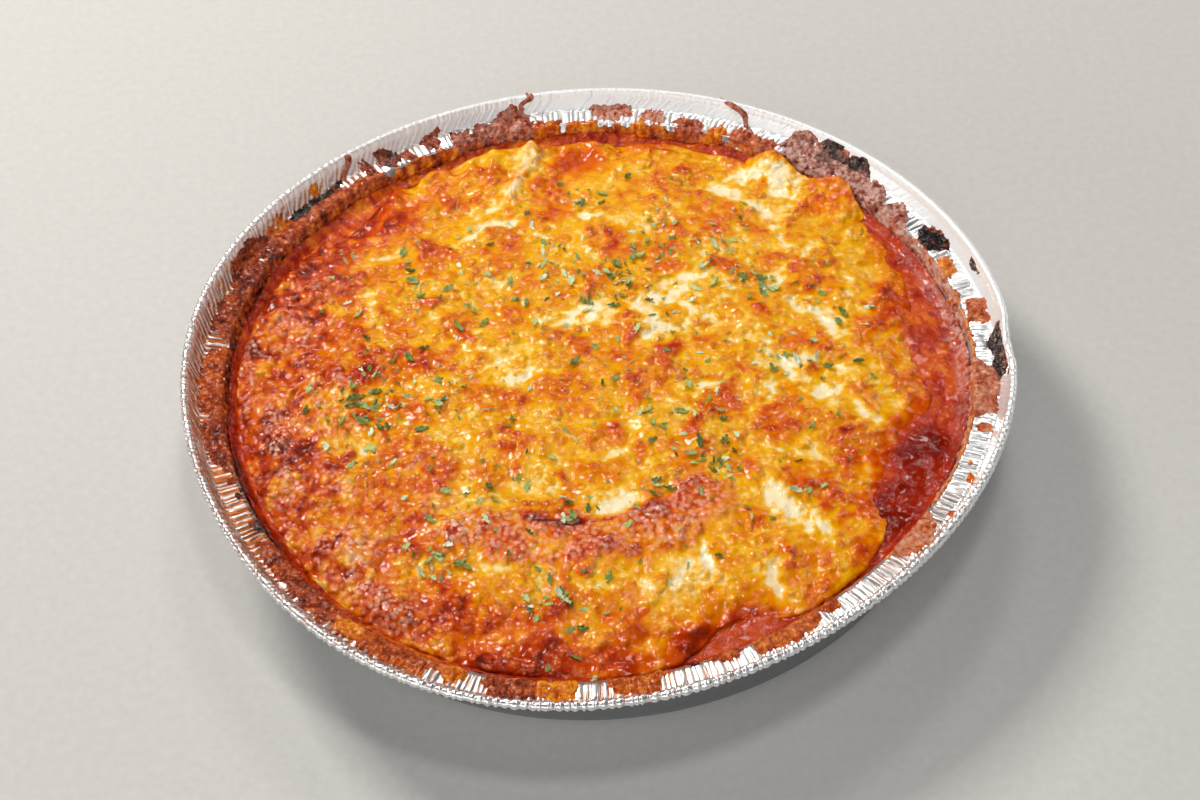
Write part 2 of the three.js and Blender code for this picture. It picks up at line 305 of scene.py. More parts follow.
@dataclass(frozen=True)
class PanForm:
    """The sizes of the foil pan, in millimetres, and how its rim has been bent."""

    rim_radius: float = 114.0
    height: float = 36.0
    foil: float = 0.6
    panel_radius: float = 80.0
    panel_lift: float = 0.8
    foot_inner_radius: float = 82.0
    foot_radius: float = 93.5
    corner_run: float = 4.1
    corner_rise: float = 4.5
    ledge_inner_radius: float = 103.6
    ledge_height: float = 29.4
    ledge_width: float = 6.0
    ledge_rise: float = 0.3
    flange_run: float = 2.4
    hem_radius: float = 1.3
    bends: tuple[tuple[int, float, float], ...] = ((2, 0.7, -75), (3, 1.8, 15), (4, 0.9, -15))
    foot_centre: tuple[float, float, float] = (-1.3, 1.3, 0.0)
    dent: Stretch = Stretch(-3, 4, 1.3)

    def settle(self, radius: Array, height: Array, angle: Array) -> Array:
        """Move points of the round form as the bent rim moves them.

        Args:
            radius: Distances from the foot's middle, in millimetres.
            height: Heights above the floor.
            angle: Angles in radians.

        Returns:
            The places, in millimetres, with x, y and z last.
        """
        radius, height, angle = np.broadcast_arrays(radius, height, angle)
        bend = sum(size * np.cos(lobes * (angle - math.radians(at))) for lobes, size, at in self.bends)
        bent = radius * (1 + bend * height / (self.rim_radius * self.height))
        return np.stack([bent * np.cos(angle), bent * np.sin(angle), height], axis=-1)

    def dented(self, radius: Array, height: Array, angle: Array) -> Array:
        """Press the dent into points of the flange and settle them, as settle does."""
        depth = self.dent.share(angle) * ease(self.ledge_height, self.height, height)
        return self.settle(radius - depth, height, angle)

    def wall_line(self) -> Array:
        """Return the outer face of the base and wall, from the axis up to the ledge.

        Returns:
            Rows of radius and height.
        """
        return np.array([
            (0, self.panel_lift),
            (self.panel_radius, self.panel_lift),
            (self.foot_inner_radius, 0),
            (self.foot_radius, 0),
            (self.foot_radius + 0.75 * self.corner_run, 0.3 * self.corner_rise),
            (self.foot_radius + self.corner_run, self.corner_rise),
            (self.ledge_inner_radius, self.ledge_height),
        ], float)

    def outside(self) -> Array:
        """Return the outer face of the whole pan, up to the hem.

        Returns:
            Rows of radius and height.
        """
        foot = (self.ledge_inner_radius + self.ledge_width, self.ledge_height + self.ledge_rise)
        top = (foot[0] + self.flange_run, self.height - 2 * self.hem_radius)
        return np.vstack([self.wall_line(), foot, top])

    def track(self) -> tuple[Array, Array]:
        """Find the line that the food side of the foil follows, up the wall and over the hem.

        Returns:
            The line's points, and the run of each.
        """
        inside = offset_line(self.outside(), self.foil)[5:]
        middle = np.array([self.rim_radius - self.hem_radius, self.height - self.hem_radius])
        turns = np.radians([175, 135, 95, 55, 15, -20])
        hem = middle + self.hem_radius * np.stack([np.cos(turns), np.sin(turns)], axis=1)
        points = np.vstack([inside, hem])
        run = np.concatenate([[0], np.cumsum(np.linalg.norm(np.diff(points, axis=0), axis=1))])
        return points, run - run[1]

    def on_foil(self, run: Array) -> tuple[Array, Array, Array, Array]:
        """Find places on the food side of the foil.

        Args:
            run: Runs in millimetres: 0 is the ledge's inner corner, less is down the wall, 6 is
                the flange's foot and 10 its top.

        Returns:
            The radius and height of each place, and those of the direction out of the foil.
        """
        points, along = self.track()
        near = 0.35
        radius, height = (np.interp(run, along, points[:, k]) for k in (0, 1))
        step_r, step_h = (
            np.interp(run + near, along, points[:, k]) - np.interp(run - near, along, points[:, k])
            for k in (0, 1)
        )
        length = np.maximum(np.hypot(step_r, step_h), 1e-6)
        return radius, height, -step_h / length, step_r / length


@dataclass(frozen=True)
class FoodForm:
    """The sizes of the food, in millimetres, as the solids have them."""

    pan: PanForm = PanForm()
    gap: float = 0.3
    floor: float = 24.3
    middle: float = 29.9
    fall: float = 3.6
    lean: float = 0.6
    radius: float = 99.7
    bays: tuple[Stretch, ...] = (
        Stretch(-27, 12.5, 13), Stretch(3, 19, 9.5), Stretch(136, 9, 2.5), Stretch(198, 14, 1.5),
        Stretch(289, 7, 7),
    )
    bay_depth: float = 6.0
    swells: tuple[Swell, ...] = (
        Swell(Stretch(268, 33, 0.9), 59, 7), Swell(Stretch(205, 60, 0.7), 90, 7),
        Swell(Stretch(104, 6, 2.2), 97, 7),
    )
    waves: int = 7
    wave_height: float = 0.16
    shortest_wave: float = 15.0
    wave_growth: float = 3.2
    sauce_level: float = 25.2
    crust_height: float = 26.9

    def bay(self, angle: Array, count: int | None = None) -> Array:
        """Return how far each angle is inside one of the first bays, or of all, from 0 to 1."""
        return np.clip(summed(self.bays[:count], angle) / self.bay_depth, 0, 1)

    def edge(self, angle: Array) -> Array:
        """Return the cheese's radius at each angle."""
        ragged = 0.3 * np.cos(9 * angle + 1) + 0.2 * np.cos(14 * angle + 2)
        return self.radius - summed(self.bays, angle) + ragged

    def dome(self, radius: Array, angle: Array) -> Array:
        """Work out the height of the cheese's main form.

        Args:
            radius: Distances from the middle, in millimetres.
            angle: Angles in radians.

        Returns:
            The heights.
        """
        height = self.middle - self.fall * (radius / self.edge(angle)) ** 3
        height = height - self.lean * (radius / self.radius) * np.sin(angle)
        height = height + summed(self.swells, radius, angle)
        for wave in range(self.waves):
            along = radius * np.cos(angle - GOLDEN * wave)
            length = self.shortest_wave + self.wave_growth * wave
            height = height + self.wave_height * np.cos(TURN * along / length + 2.4 * wave)
        return height

    def wall_radius(self, height: Array) -> Array:
        """Return the radius of the food against the wall at each height."""
        low, high = offset_line(self.pan.wall_line(), self.pan.foil + self.gap)[-2:]
        return low[0] + (height - low[1]) * (high[0] - low[0]) / (high[1] - low[1])

    def crust_top(self, angle: Array) -> Array:
        """Return how high the sauce has baked up the wall at each angle."""
        ragged = 0.5 * np.cos(7 * angle + 1) + 0.4 * np.cos(17 * angle)
        return self.crust_height + ragged - self.lean * np.sin(angle)

    def sauce_top(self, angle: Array) -> Array:
        """Return the level of the sauce beside the cheese at each angle."""
        return self.sauce_level + 0.25 * np.cos(11 * angle) + 0.2 * np.cos(5 * angle + 2)


# ---------------------------------------------------------------- meshes


def new_object(name: str, data: bpy.types.ID) -> bpy.types.Object:
    """Put a mesh, light or camera into the scene as an object.

    Args:
        name: The object's name.
        data: The mesh, light or camera.

    Returns:
        The new object.
    """
    thing = bpy.data.objects.new(name, data)
    bpy.context.scene.collection.objects.link(thing)
    return thing


def mesh_object(name: str, points: Array, corners: list[list[int]], fields: Fields) -> bpy.types.Object:
    """Make an object from points, faces and a value for each point.

    Args:
        name: The object's name.
        points: The points in millimetres.
        corners: The numbers of each face's points.
        fields: A number or a vector for each point, by attribute name.

    Returns:
        The new object.
    """
    mesh = bpy.data.meshes.new(name)
    mesh.from_pydata((points * MM).tolist(), [], corners)
    for label, values in fields.items():
        kind, key = ("FLOAT_VECTOR", "vector") if values.ndim == 2 else ("FLOAT", "value")
        data = mesh.attributes.new(label, kind, "POINT").data
        data.foreach_set(key, values.astype(np.float32).ravel())
    mesh.update()
    mesh.shade_smooth()
    return new_object(name, mesh)


def make_piece(
    name: str, points: Array, faces: list[Array], fields: Fields,
    middle: tuple[float, float, float] = PanForm.foot_centre
) -> bpy.types.Object:
    """Make an object at the origin from points of the pan's own frame.

    Args:
        name: The piece's name.
        points: The points in millimetres, round the foot's middle or another one.
        faces: Arrays of faces, each with the same number of corners in all its rows.
        fields: A value for each point, by attribute name.
        middle: Where that middle is.

    Returns:
        The new object, with unused points left out.
    """
    used = np.zeros(len(points), bool)
    for group in faces:
        used[group.ravel()] = True
    number = np.cumsum(used) - 1
    corners = [face for group in faces for face in number[group].tolist()]
    kept = {label: np.asarray(values)[used] for label, values in fields.items()}
    return mesh_object(name, points[used] + np.array(middle), corners, kept)


def turned_faces(rows: int, columns: int) -> list[Array]:
    """Join rows of points that run round the axis, with a pole before and after them.

    Args:
        rows: The number of rows between the poles.
        columns: The points in each row.

    Returns:
        The faces. The first pole is point 0 and the second is the last point.
    """
    ring = 1 + np.arange(rows * columns).reshape(rows, columns)
    beside = np.roll(ring, -1, axis=1)
    walls = np.stack([ring[:-1], beside[:-1], beside[1:], ring[1:]], axis=-1).reshape(-1, 4)
    first, last = np.zeros(columns, int), np.full(columns, rows * columns + 1)
    below = np.stack([first, beside[0], ring[0]], axis=-1)
    above = np.stack([last, ring[-1], beside[-1]], axis=-1)
    return [walls, below, above]


def without_corner_contacts(kept: Array, closed: bool) -> Array:
    """Fill the cells of a grid where two kept cells would touch only at a corner.

    Args:
        kept: Which cells are kept.
        closed: Whether the last column joins the first.

    Returns:
        The kept cells.
    """
    # Each pass may make a few new contacts. After five none is left.
    for _ in range(5):
        right, above = np.roll(kept, -1, axis=1), np.roll(kept, -1, axis=0)
        beyond = np.roll(right, -1, axis=0)
        cross = (kept & beyond & ~right & ~above) | (~kept & ~beyond & right & above)
        cross[-1] = False
        if not closed:
            cross[:, -1] = False
        kept = kept | cross | np.roll(cross, 1, axis=1)
        kept |= np.roll(cross, 1, axis=0) | np.roll(np.roll(cross, 1, axis=0), 1, axis=1)
    return kept


def shell_faces(rows: int, columns: int, kept: Array, closed: bool) -> list[Array]:
    """Join an upper and a lower grid of points into closed shells.

    Args:
        rows: The rows of each grid.
        columns: The points in each row.
        kept: Which cells between the points have the shell.
        closed: Whether the last column joins the first.

    Returns:
        The faces. The lower grid's points follow the upper grid's.
    """
    kept = without_corner_contacts(kept, closed)
    index = np.arange(rows * columns).reshape(rows, columns)
    beside = np.roll(index, -1, axis=1) if closed else index[:, 1:]
    here = index if closed else index[:, :-1]
    a, b, c, d = here[:-1], here[1:], beside[1:], beside[:-1]
    lower = rows * columns
    padded = np.pad(kept, ((1, 1), (0, 0)))
    if closed:
        left, right = np.roll(kept, 1, axis=1), np.roll(kept, -1, axis=1)
    else:
        sides = np.pad(kept, ((0, 0), (1, 1)))
        left, right = sides[:, :-2], sides[:, 2:]
    faces = [np.stack([a, b, c, d], axis=-1)[kept], np.stack([a, d, c, b], axis=-1)[kept] + lower]
    for start, end, neighbour in ((a, b, left), (b, c, padded[2:]), (c, d, right), (d, a, padded[:-2])):
        bare = kept & ~neighbour
        faces.append(np.stack([end, start, start + lower, end + lower], axis=-1)[bare])
    return faces


def disc_grid(cells: int) -> tuple[Array, Array, Array]:
    """Bend a square grid into a disc with cells of about one size.

    Args:
        cells: The number of cells along a side.

    Returns:
        Each point's share of the radius, its angle, and the boundary's points in order.
    """
    side = np.linspace(-1, 1, cells + 1)
    across, up = np.meshgrid(side, side)
    wide = np.abs(across) > np.abs(up)
    safe_across, safe_up = (np.where(v == 0, 1e-9, v) for v in (across, up))
    turn = np.where(wide, math.pi / 4 * up / safe_across, math.pi / 2 - math.pi / 4 * across / safe_up)
    reach = np.where(wide, across, up)
    index = np.arange((cells + 1) ** 2).reshape(cells + 1, cells + 1)
    rim = np.concatenate([index[0, :-1], index[:-1, -1], index[-1, :0:-1], index[:0:-1, 0]])
    return np.abs(reach), np.arctan2(reach * np.sin(turn), reach * np.cos(turn)), rim


# ---------------------------------------------------------------- node trees


def linear(code: str) -> tuple[float, float, float, float]:
    """Turn an sRGB hex colour into linear light, as a socket takes it.

    Args:
        code: Six hex digits.

    Returns:
        Red, green, blue and alpha, from 0 to 1.
    """
    parts = [int(code[k:k + 2], 16) / 255 for k in (0, 2, 4)]
    red, green, blue = (p / 12.92 if p <= 0.04045 else ((p + 0.055) / 1.055) ** 2.4 for p in parts)
    return red, green, blue, 1.0


def per_mm(size: float) -> float:
    """Return the scale of a pattern whose features lie so many millimetres apart."""
    return 1 / (size * MM)


def add_node(
    tree: bpy.types.NodeTree, kind: str, joins: dict | None = None, **settings: object
) -> bpy.types.Node:
    """Add a node with its settings and links.

    Args:
        tree: The tree that it goes into.
        kind: The node's type.
        joins: For an input, by name or number, what it is set to, or the Value that it is
            linked to.
        **settings: Properties of the node.

    Returns:
        The node.
    """
    node = tree.nodes.new(kind)
    for label, value in settings.items():
        setattr(node, label, value)
    for label, source in (joins or {}).items():
        if isinstance(source, Value):
            tree.links.new(source.socket, node.inputs[label])
        else:
            node.inputs[label].default_value = source
    return node


def add_value(
    tree: bpy.types.NodeTree, kind: str, joins: dict | None = None, output: str | int | None = None,
    **settings: object
) -> Value:
    """Add a node, as add_node does, and return the named output, or else its first in use.

    Args:
        tree: The tree that it goes into.
        kind: The node's type.
        joins: As in add_node.
        output: The name or number of the output.
        **settings: Properties of the node.

    Returns:
        The output.
    """
    node = add_node(tree, kind, joins, **settings)
    if output is None:
        return Value(tree, next(socket for socket in node.outputs if socket.enabled))
    return Value(tree, node.outputs[output])


@dataclass(frozen=True)
class Value:
    """An output in a node tree. What is worked out from it adds the nodes that do so."""

    tree: bpy.types.NodeTree
    socket: bpy.types.NodeSocket

    def output(self, label: str) -> Value:
        """Return another output of the same node."""
        return Value(self.tree, self.socket.node.outputs[label])

    def math(self, operation: str, *others: Value | float) -> Value:
        """Add one step of arithmetic, by the math node's name for it."""
        joins = dict(enumerate((self, *others)))
        return add_value(self.tree, "ShaderNodeMath", joins, operation=operation)

    def __add__(self, other: Value | float) -> Value:
        """Add another value or a number."""
        return self.math("ADD", other)

    def __sub__(self, other: Value | float) -> Value:
        """Subtract another value or a number."""
        return self.math("SUBTRACT", other)

    def __mul__(self, other: Value | float) -> Value:
        """Multiply by another value or a number."""
        return self.math("MULTIPLY", other)

    def clamped(self) -> Value:
        """Keep this step of arithmetic from 0 to 1."""
        self.socket.node.use_clamp = True
        return self

    def mapped(
        self, low: float, high: float, to_low: float = 0.0, to_high: float = 1.0, **settings: object
    ) -> Value:
        """Map the range from low to high onto another and keep the result inside it."""
        joins = {"Value": self, 1: low, 2: high, 3: to_low, 4: to_high}
        return add_value(self.tree, "ShaderNodeMapRange", joins, **settings)

    def blend(self, below: Value | str, above: Value | str) -> Value:
        """Mix two colours, by hex code or from the tree: at 0 only the first shows.

        Args:
            below: The colour at 0.
            above: The colour at 1.

        Returns:
            The mixed colour.
        """
        first, second = (linear(colour) if isinstance(colour, str) else colour for colour in (below, above))
        joins = {0: self, 6: first, 7: second}
        return add_value(self.tree, "ShaderNodeMix", joins, output=2, data_type="RGBA")

    def ramp(self, stops: Stops) -> Value:
        """Colour it by a ramp with stops from 0 to 1.

        Args:
            stops: The places and hex colours of the stops.

        Returns:
            The colour.
        """
        node = add_node(self.tree, "ShaderNodeValToRGB", {0: self})
        elements = node.color_ramp.elements
        while len(elements) < len(stops):
            elements.new(0.5)
        for element, (place, code) in zip(elements, stops):
            element.position = place
            element.color = linear(code)
        return Value(self.tree, node.outputs["Color"])

    def noise(self, scale: float, detail: float, **shape: float) -> Value:
        """Lay noise over this place, with further inputs of the noise node by name."""
        joins = {"Vector": self, "Scale": scale, "Detail": detail, **shape}
        return add_value(self.tree, "ShaderNodeTexNoise", joins)

    def round_tops(self, spacing: float, reach: float) -> Value:
        """Scatter tops like balls' caps, each of one curvature, so that it carries one clear glint.

        Args:
            spacing: The distance between neighbours, in millimetres.
            reach: A top's radius as a share of the spacing.

        Returns:
            Each place's height, from 0 to 1.
        """
        away = add_value(self.tree, "ShaderNodeTexVoronoi", {"Vector": self, "Scale": per_mm(spacing)})
        return (away * away).mapped(reach**2, 0.0)

    def stirred(self, by: Value, reach: float) -> Value:
        """Shift this place unevenly by up to a reach in millimetres, as a noise's colour says."""
        joins = {0: by.output("Color"), 1: (reach * MM,) * 3, 2: self}
        return add_value(self.tree, "ShaderNodeVectorMath", joins, operation="MULTIPLY_ADD")

    def bump(self, distance: float, strength: float = 1.0, **joins: Value) -> Value:
        """Raise the surface by this height, 1 standing for a distance in millimetres."""
        joins = {"Strength": strength, "Distance": distance * MM, "Height": self, **joins}
        return add_value(self.tree, "ShaderNodeBump", joins)


def carried(tree: bpy.types.NodeTree, *labels: str) -> list[Value]:
    """Read values that the mesh carries into a material's tree."""
    return [add_value(tree, "ShaderNodeAttribute", output="Fac", attribute_name=label) for label in labels]


# ---------------------------------------------------------------- finishes


class Finish:
    """A material, whose shader each finish works out for itself."""

    name: str

    def shader(self, tree: bpy.types.NodeTree, place: Value) -> dict[str, object]:
        """Work out the shader's inputs from the place on the object, in metres."""
        raise NotImplementedError

    def material(self) -> bpy.types.Material:
        """Build the material.

        Returns:
            The material.
        """
        material = bpy.data.materials.new(self.name)
        material.use_nodes = True
        tree = material.node_tree
        tree.nodes.clear()
        place = add_value(tree, "ShaderNodeTexCoord", output="Object")
        shader = add_value(tree, "ShaderNodeBsdfPrincipled", self.shader(tree, place))
        add_node(tree, "ShaderNodeOutputMaterial", {"Surface": shader})
        return material


@dataclass(frozen=True)
class FoilFinish(Finish):
    """Rolled aluminium foil, pressed into a pan: bright, with fine creases and a thin film of fat.

    It mirrors broadly and softly, turns tan where a film of sauce has dried on it, and is duller
    on its outer side. Between the pleats lie creases about a millimetre apart, which glitter
    one by one.
    """

    name: str = "pressed_aluminium_foil"
    bright: str = "eceded"
    dull: str = "9a9c9e"
    film: str = "b8662e"
    roughness: float = 0.28
    outer_roughness: float = 0.16
    crease_mm: float = 1.6
    gather_mm: float = 1.15
    blotch_mm: float = 4.0

    def shader(self, tree: bpy.types.NodeTree, place: Value) -> dict[str, object]:
        """Work out the shader's inputs from the place on the object, in metres.

        Args:
            tree: The material's tree.
            place: The place on the object, in metres.

        Returns:
            The inputs by name.
        """
        film, outer, valley, matt, pleated = carried(tree, "film", "outer", "valley", "matt", "gathered")
        blotch = place.noise(per_mm(self.blotch_mm), 3.0)
        crease = place.noise(per_mm(self.crease_mm), 4.0, Roughness=0.6)
        # The film dries in blotches, most of it in the valleys between the pleats.
        share = (film * blotch * valley * 2.6).clamped()
        rough = crease.mapped(0.0, 1.0, self.roughness - 0.05, self.roughness + 0.1)
        around = add_value(tree, "ShaderNodeAttribute", output="Vector", attribute_name="gathers")
        gathers = around.noise(1 / self.gather_mm, 1.5) * pleated
        return {
            "Base Color": share.blend(outer.blend(self.bright, self.dull), self.film),
            "Metallic": share * -0.35 + (matt * -0.8 + 1.0),
            "Roughness": outer * self.outer_roughness + rough,
            "Normal": crease.bump(0.12, 0.5, Normal=gathers.bump(0.75)),
        }


@dataclass(frozen=True)
class CheeseFinish(Finish):
    """Melted mozzarella, browned under the heat: cream where it is thick, amber to brown on top.

    Fat makes it shine, and its blisters break the shine into many small glints. Real blisters
    and crumbs are about half as wide as those drawn, which are coarser so that they show.
    """

    name: str = "browned_mozzarella"
    browning: Stops = (
        (0.0, "fce8bc"), (0.1, "f9d27e"), (0.21, "f3b410"), (0.38, "ea9600"),
        (0.54, "df6e00"), (0.69, "c84200"), (0.84, "a02400"), (1.0, "641200"),
    )
    soaked: Stops = (
        (0.0, "f2a008"), (0.28, "ea7c00"), (0.48, "d75200"), (0.72, "b03000"), (1.0, "741a00"),
    )
    # The colours of the painted pink highlight and of the painted glints.
    painted_highlight: str = "f2b89c"
    painted_glint: str = "fbe0c4"
    mottle_mm: float = 2.8
    swell_mm: float = 3.6
    bubble_mm: float = 3.0
    bead_mm: float = 1.5
    glint_mm: float = 1.25
    relief_mm: float = 0.62

    def shader(self, tree: bpy.types.NodeTree, place: Value) -> dict[str, object]:
        """Work out the shader's inputs from the place on the object, in metres.

        Args:
            tree: The material's tree.
            place: The place on the object, in metres.

        Returns:
            The inputs by name.
        """
        bake, soak, pink, grain = carried(tree, "bake", "soak", "pink", "grain")
        mottle = place.noise(per_mm(self.mottle_mm), 4.0, Roughness=0.62, Distortion=0.5)
        stirred = place.stirred(mottle, 1.0)
        # Fat bubbles, in clusters where the top has blistered, pimples on them, and small tops on
        # which pale glints are painted.
        bubbles, beads, glints = (
            stirred.round_tops(size, reach)
            for size, reach in ((self.bubble_mm, 0.64), (self.bead_mm, 0.64), (self.glint_mm, 0.32))
        )
        # Dry tops brown first. Where sauce has soaked in, it lies deep and red between bubbles.
        blister = (bubbles - 0.45) * (soak * -0.52 + 0.15)
        # The pimples' tops are painted a little lighter, a small painted highlight.
        clustered = (beads * -0.07 + blister) * grain
        varied = (mottle * 0.75 - 0.35) * (grain * 0.5 + 0.5)
        baked = (bake + (varied + clustered)).clamped()
        cheese = soak.blend(baked.ramp(self.browning), baked.ramp(self.soaked))
        # A pale pink highlight is painted on the pimples' tops, in patches.
        patchy = mottle.mapped(0.38, 0.56, 0.2, 1.15)
        dusty = (pink * patchy * beads.mapped(0.0, 0.8)).clamped()
        # Painted glints: pale specks where the small tops lie on the bubbles' tops.
        painted_glints = (glints * bubbles.mapped(0.35, 0.9) * grain * 0.6).clamped()
        raised = (beads * 0.14 + bubbles) * grain
        relief = place.noise(per_mm(self.swell_mm), 1.0) * 1.1 + raised
        return {
            "Base Color": painted_glints.blend(dusty.blend(cheese, self.painted_highlight), self.painted_glint),
            "Roughness": mottle.mapped(0.3, 0.7, 0.05, 0.1),
            "IOR": 1.36,
            "Normal": relief.bump(self.relief_mm),
            "Subsurface Weight": 0.12,
            "Subsurface Radius": (1.0, 0.38, 0.1),
            "Subsurface Scale": 1.5 * MM,
        }


@dataclass(frozen=True)
class SauceFinish(Finish):
    """Tomato sauce baked down in its own fat: deep red and wet, with orange fat and pulp in it."""

    name: str = "baked_tomato_sauce"
    depth: Stops = (
        (0.0, "e6820a"), (0.25, "cc4e04"), (0.5, "aa2604"), (0.75, "821200"), (1.0, "330b05"),
    )
    film: str = "cf9a8b"
    # The colour of the painted glints.
    painted_glint: str = "f2a27c"
    pulp_mm: float = 1.8
    bubble_mm: float = 3.0
    glint_mm: float = 1.6
    relief_mm: float = 0.45

    def shader(self, tree: bpy.types.NodeTree, place: Value) -> dict[str, object]:
        """Work out the shader's inputs from the place on the object, in metres.

        Args:
            tree: The material's tree.
            place: The place on the object, in metres.

        Returns:
            The inputs by name.
        """
        tone, film, grain = carried(tree, "tone", "film", "grain")
        pulp = place.noise(per_mm(self.pulp_mm), 4.0, Roughness=0.6, Distortion=0.6)
        red = (tone + (pulp * 0.5 - 0.25)).clamped().ramp(self.depth)
        streaks = pulp.mapped(0.38, 0.62)
        filmed = (film * streaks).clamped().blend(red, self.film)
        stirred = place.stirred(pulp, 2.4)
        bubbles, glints = (
            stirred.round_tops(size, reach) for size, reach in ((self.bubble_mm, 0.64), (self.glint_mm, 0.3))
        )
        # Painted glints: pale salmon specks on small tops, along the pulp's streaks.
        painted_glints = (glints * streaks * 0.3).clamped()
        return {
            "Base Color": painted_glints.blend(filmed, self.painted_glint),
            "Roughness": pulp.mapped(0.3, 0.7, 0.05, 0.11),
            "IOR": 1.36,
            "Normal": ((pulp * 0.35 + bubbles) * grain).bump(self.relief_mm),
        }


@dataclass(frozen=True)
class CrustFinish(Finish):
    """Sauce and cheese that boiled over and baked hard: orange to brown, grey and black where burnt.

    Its crumbs are drawn coarser than real ones, so that they show.
    """

    name: str = "baked_on_sauce_crust"
    burning: Stops = (
        (0.0, "f0a010"), (0.14, "dc7806"), (0.34, "b84c04"), (0.55, "882c04"), (0.74, "4e1a0a"),
        (0.88, "281614"), (1.0, "120e0e"),
    )
    ash: str = "c0978a"
    # The colour of the painted glints on the crumbs.
    crust_glint_paint: str = "eab890"
    crumb_mm: float = 1.5
    grain_mm: float = 1.9
    relief_mm: float = 0.5

    def shader(self, tree: bpy.types.NodeTree, place: Value) -> dict[str, object]:
        """Work out the shader's inputs from the place on the object, in metres.

        Args:
            tree: The material's tree.
            place: The place on the object, in metres.

        Returns:
            The inputs by name.
        """
        burn, pale = carried(tree, "burn", "pale")
        crumb = place.noise(per_mm(self.crumb_mm), 4.0, Roughness=0.7)
        brown = (burn + (crumb * -1.1 + 0.58)).clamped().ramp(self.burning)
        dusty = (pale * crumb.mapped(0.36, 0.6)).clamped().blend(brown, self.ash)
        relief = crumb * 0.4 + place.round_tops(self.grain_mm, 0.7)
        # The crumbs' peaks carry pale specks of painted glint.
        return {
            "Base Color": crumb.mapped(0.6, 0.72, 0.0, 0.5).blend(dusty, self.crust_glint_paint),
            "Roughness": crumb.mapped(0.0, 1.0, 0.1, 0.24),
            "IOR": 1.33,
            "Normal": relief.bump(self.relief_mm),
        }


@dataclass(frozen=True)
class ParsleyFinish(Finish):
    """Dried parsley, softened by the steam: dull green, pale and dusty on its raised faces."""

    name: str = "dried_parsley_leaf"
    greens: Stops = (
        (0.0, "43541a"), (0.25, "70863a"), (0.5, "9aae5e"), (0.75, "bfcf8c"), (1.0, "e2ebd0"),
    )
    vein_mm: float = 0.7

    def shader(self, tree: bpy.types.NodeTree, place: Value) -> dict[str, object]:
        """Work out the shader's inputs from the place on the object, in metres.

        Args:
            tree: The material's tree.
            place: The place on the object, in metres.

        Returns:
            The inputs by name.
        """
        (tone,) = carried(tree, "tone")
        vein = place.noise(per_mm(self.vein_mm), 2.0)
        return {
            "Base Color": (tone + (vein * 0.6 - 0.3)).clamped().ramp(self.greens),
            "Roughness": 0.5,
            "IOR": 1.4,
            "Normal": vein.bump(0.2, 0.5),
        }


@dataclass(frozen=True)
class PaperFinish(Finish):
    """Matt studio paper, warm grey, its fibres only just there."""

    name: str = "matt_studio_paper"
    fibres: Stops = ((0.2, "c6c4c0"), (0.8, "cfcdc9"))
    fibre_mm: float = 2.5

    def shader(self, tree: bpy.types.NodeTree, place: Value) -> dict[str, object]:
        """Work out the shader's inputs from the place on the object, in metres."""
        return {"Base Color": place.noise(per_mm(self.fibre_mm), 3.0).ramp(self.fibres), "Roughness": 0.9}


# ---------------------------------------------------------------- geometry nodes


def new_tree(name: str, sizes: dict[str, tuple[str, object]]) -> tuple[bpy.types.NodeTree, dict[str, Value]]:
    """Start a geometry tree with named inputs.

    Args:
        name: The tree's name.
        sizes: For each input, its socket type, less the word NodeSocket, and its value.

    Returns:
        The tree and its inputs by name, "Geometry" among them.
    """
    tree = bpy.data.node_groups.new(name, "GeometryNodeTree")
    tree.interface.new_socket("Geometry", in_out="OUTPUT", socket_type="NodeSocketGeometry")
    for label, (kind, value) in {"Geometry": ("Geometry", None), **sizes}.items():
        socket = tree.interface.new_socket(label, in_out="INPUT", socket_type="NodeSocket" + kind)
        if value is not None:
            socket.default_value = value
    given = add_node(tree, "NodeGroupInput").outputs
    return tree, {label: Value(tree, given[label]) for label in ("Geometry", *sizes)}


def named(tree: bpy.types.NodeTree, *labels: str, kind: str = "FLOAT") -> list[Value]:
    """Read values that the mesh carries into a geometry tree.

    Args:
        tree: The geometry tree.
        *labels: The names of the values.
        kind: Their type.

    Returns:
        The values, in that order.
    """
    return [
        add_value(tree, "GeometryNodeInputNamedAttribute", {"Name": label}, data_type=kind)
        for label in labels
    ]


def dress(geometry: Value, material: Value) -> None:
    """End a geometry tree: make its instances real, give them the material and put them out.

    Args:
        geometry: What the tree has made.
        material: The material input.
    """
    whole = add_value(geometry.tree, "GeometryNodeRealizeInstances", {"Geometry": geometry})
    dressed = add_value(geometry.tree, "GeometryNodeSetMaterial", {"Geometry": whole, "Material": material})
    add_node(geometry.tree, "NodeGroupOutput", {"Geometry": dressed})


def realised(
    source: bpy.types.Object, tree: bpy.types.NodeTree, inputs: dict[str, object], name: str
) -> bpy.types.Object:
    """Run a geometry tree on an object and keep the result as a plain mesh.

    Args:
        source: The object that the tree works on, which is removed.
        tree: The tree.
        inputs: Values for its named inputs.
        name: The new piece's name.

    Returns:
        The new piece.
    """
    modifier = source.modifiers.new("made", "NODES")
    modifier.node_group = tree
    for item in tree.interface.items_tree:
        if item.item_type == "SOCKET" and item.in_out == "INPUT" and item.name in inputs:
            modifier[item.identifier] = inputs[item.name]
    graph = bpy.context.evaluated_depsgraph_get()
    mesh = bpy.data.meshes.new_from_object(source.evaluated_get(graph), depsgraph=graph)
    bpy.data.objects.remove(source)
    mesh.name = name
    return new_object(name, mesh)


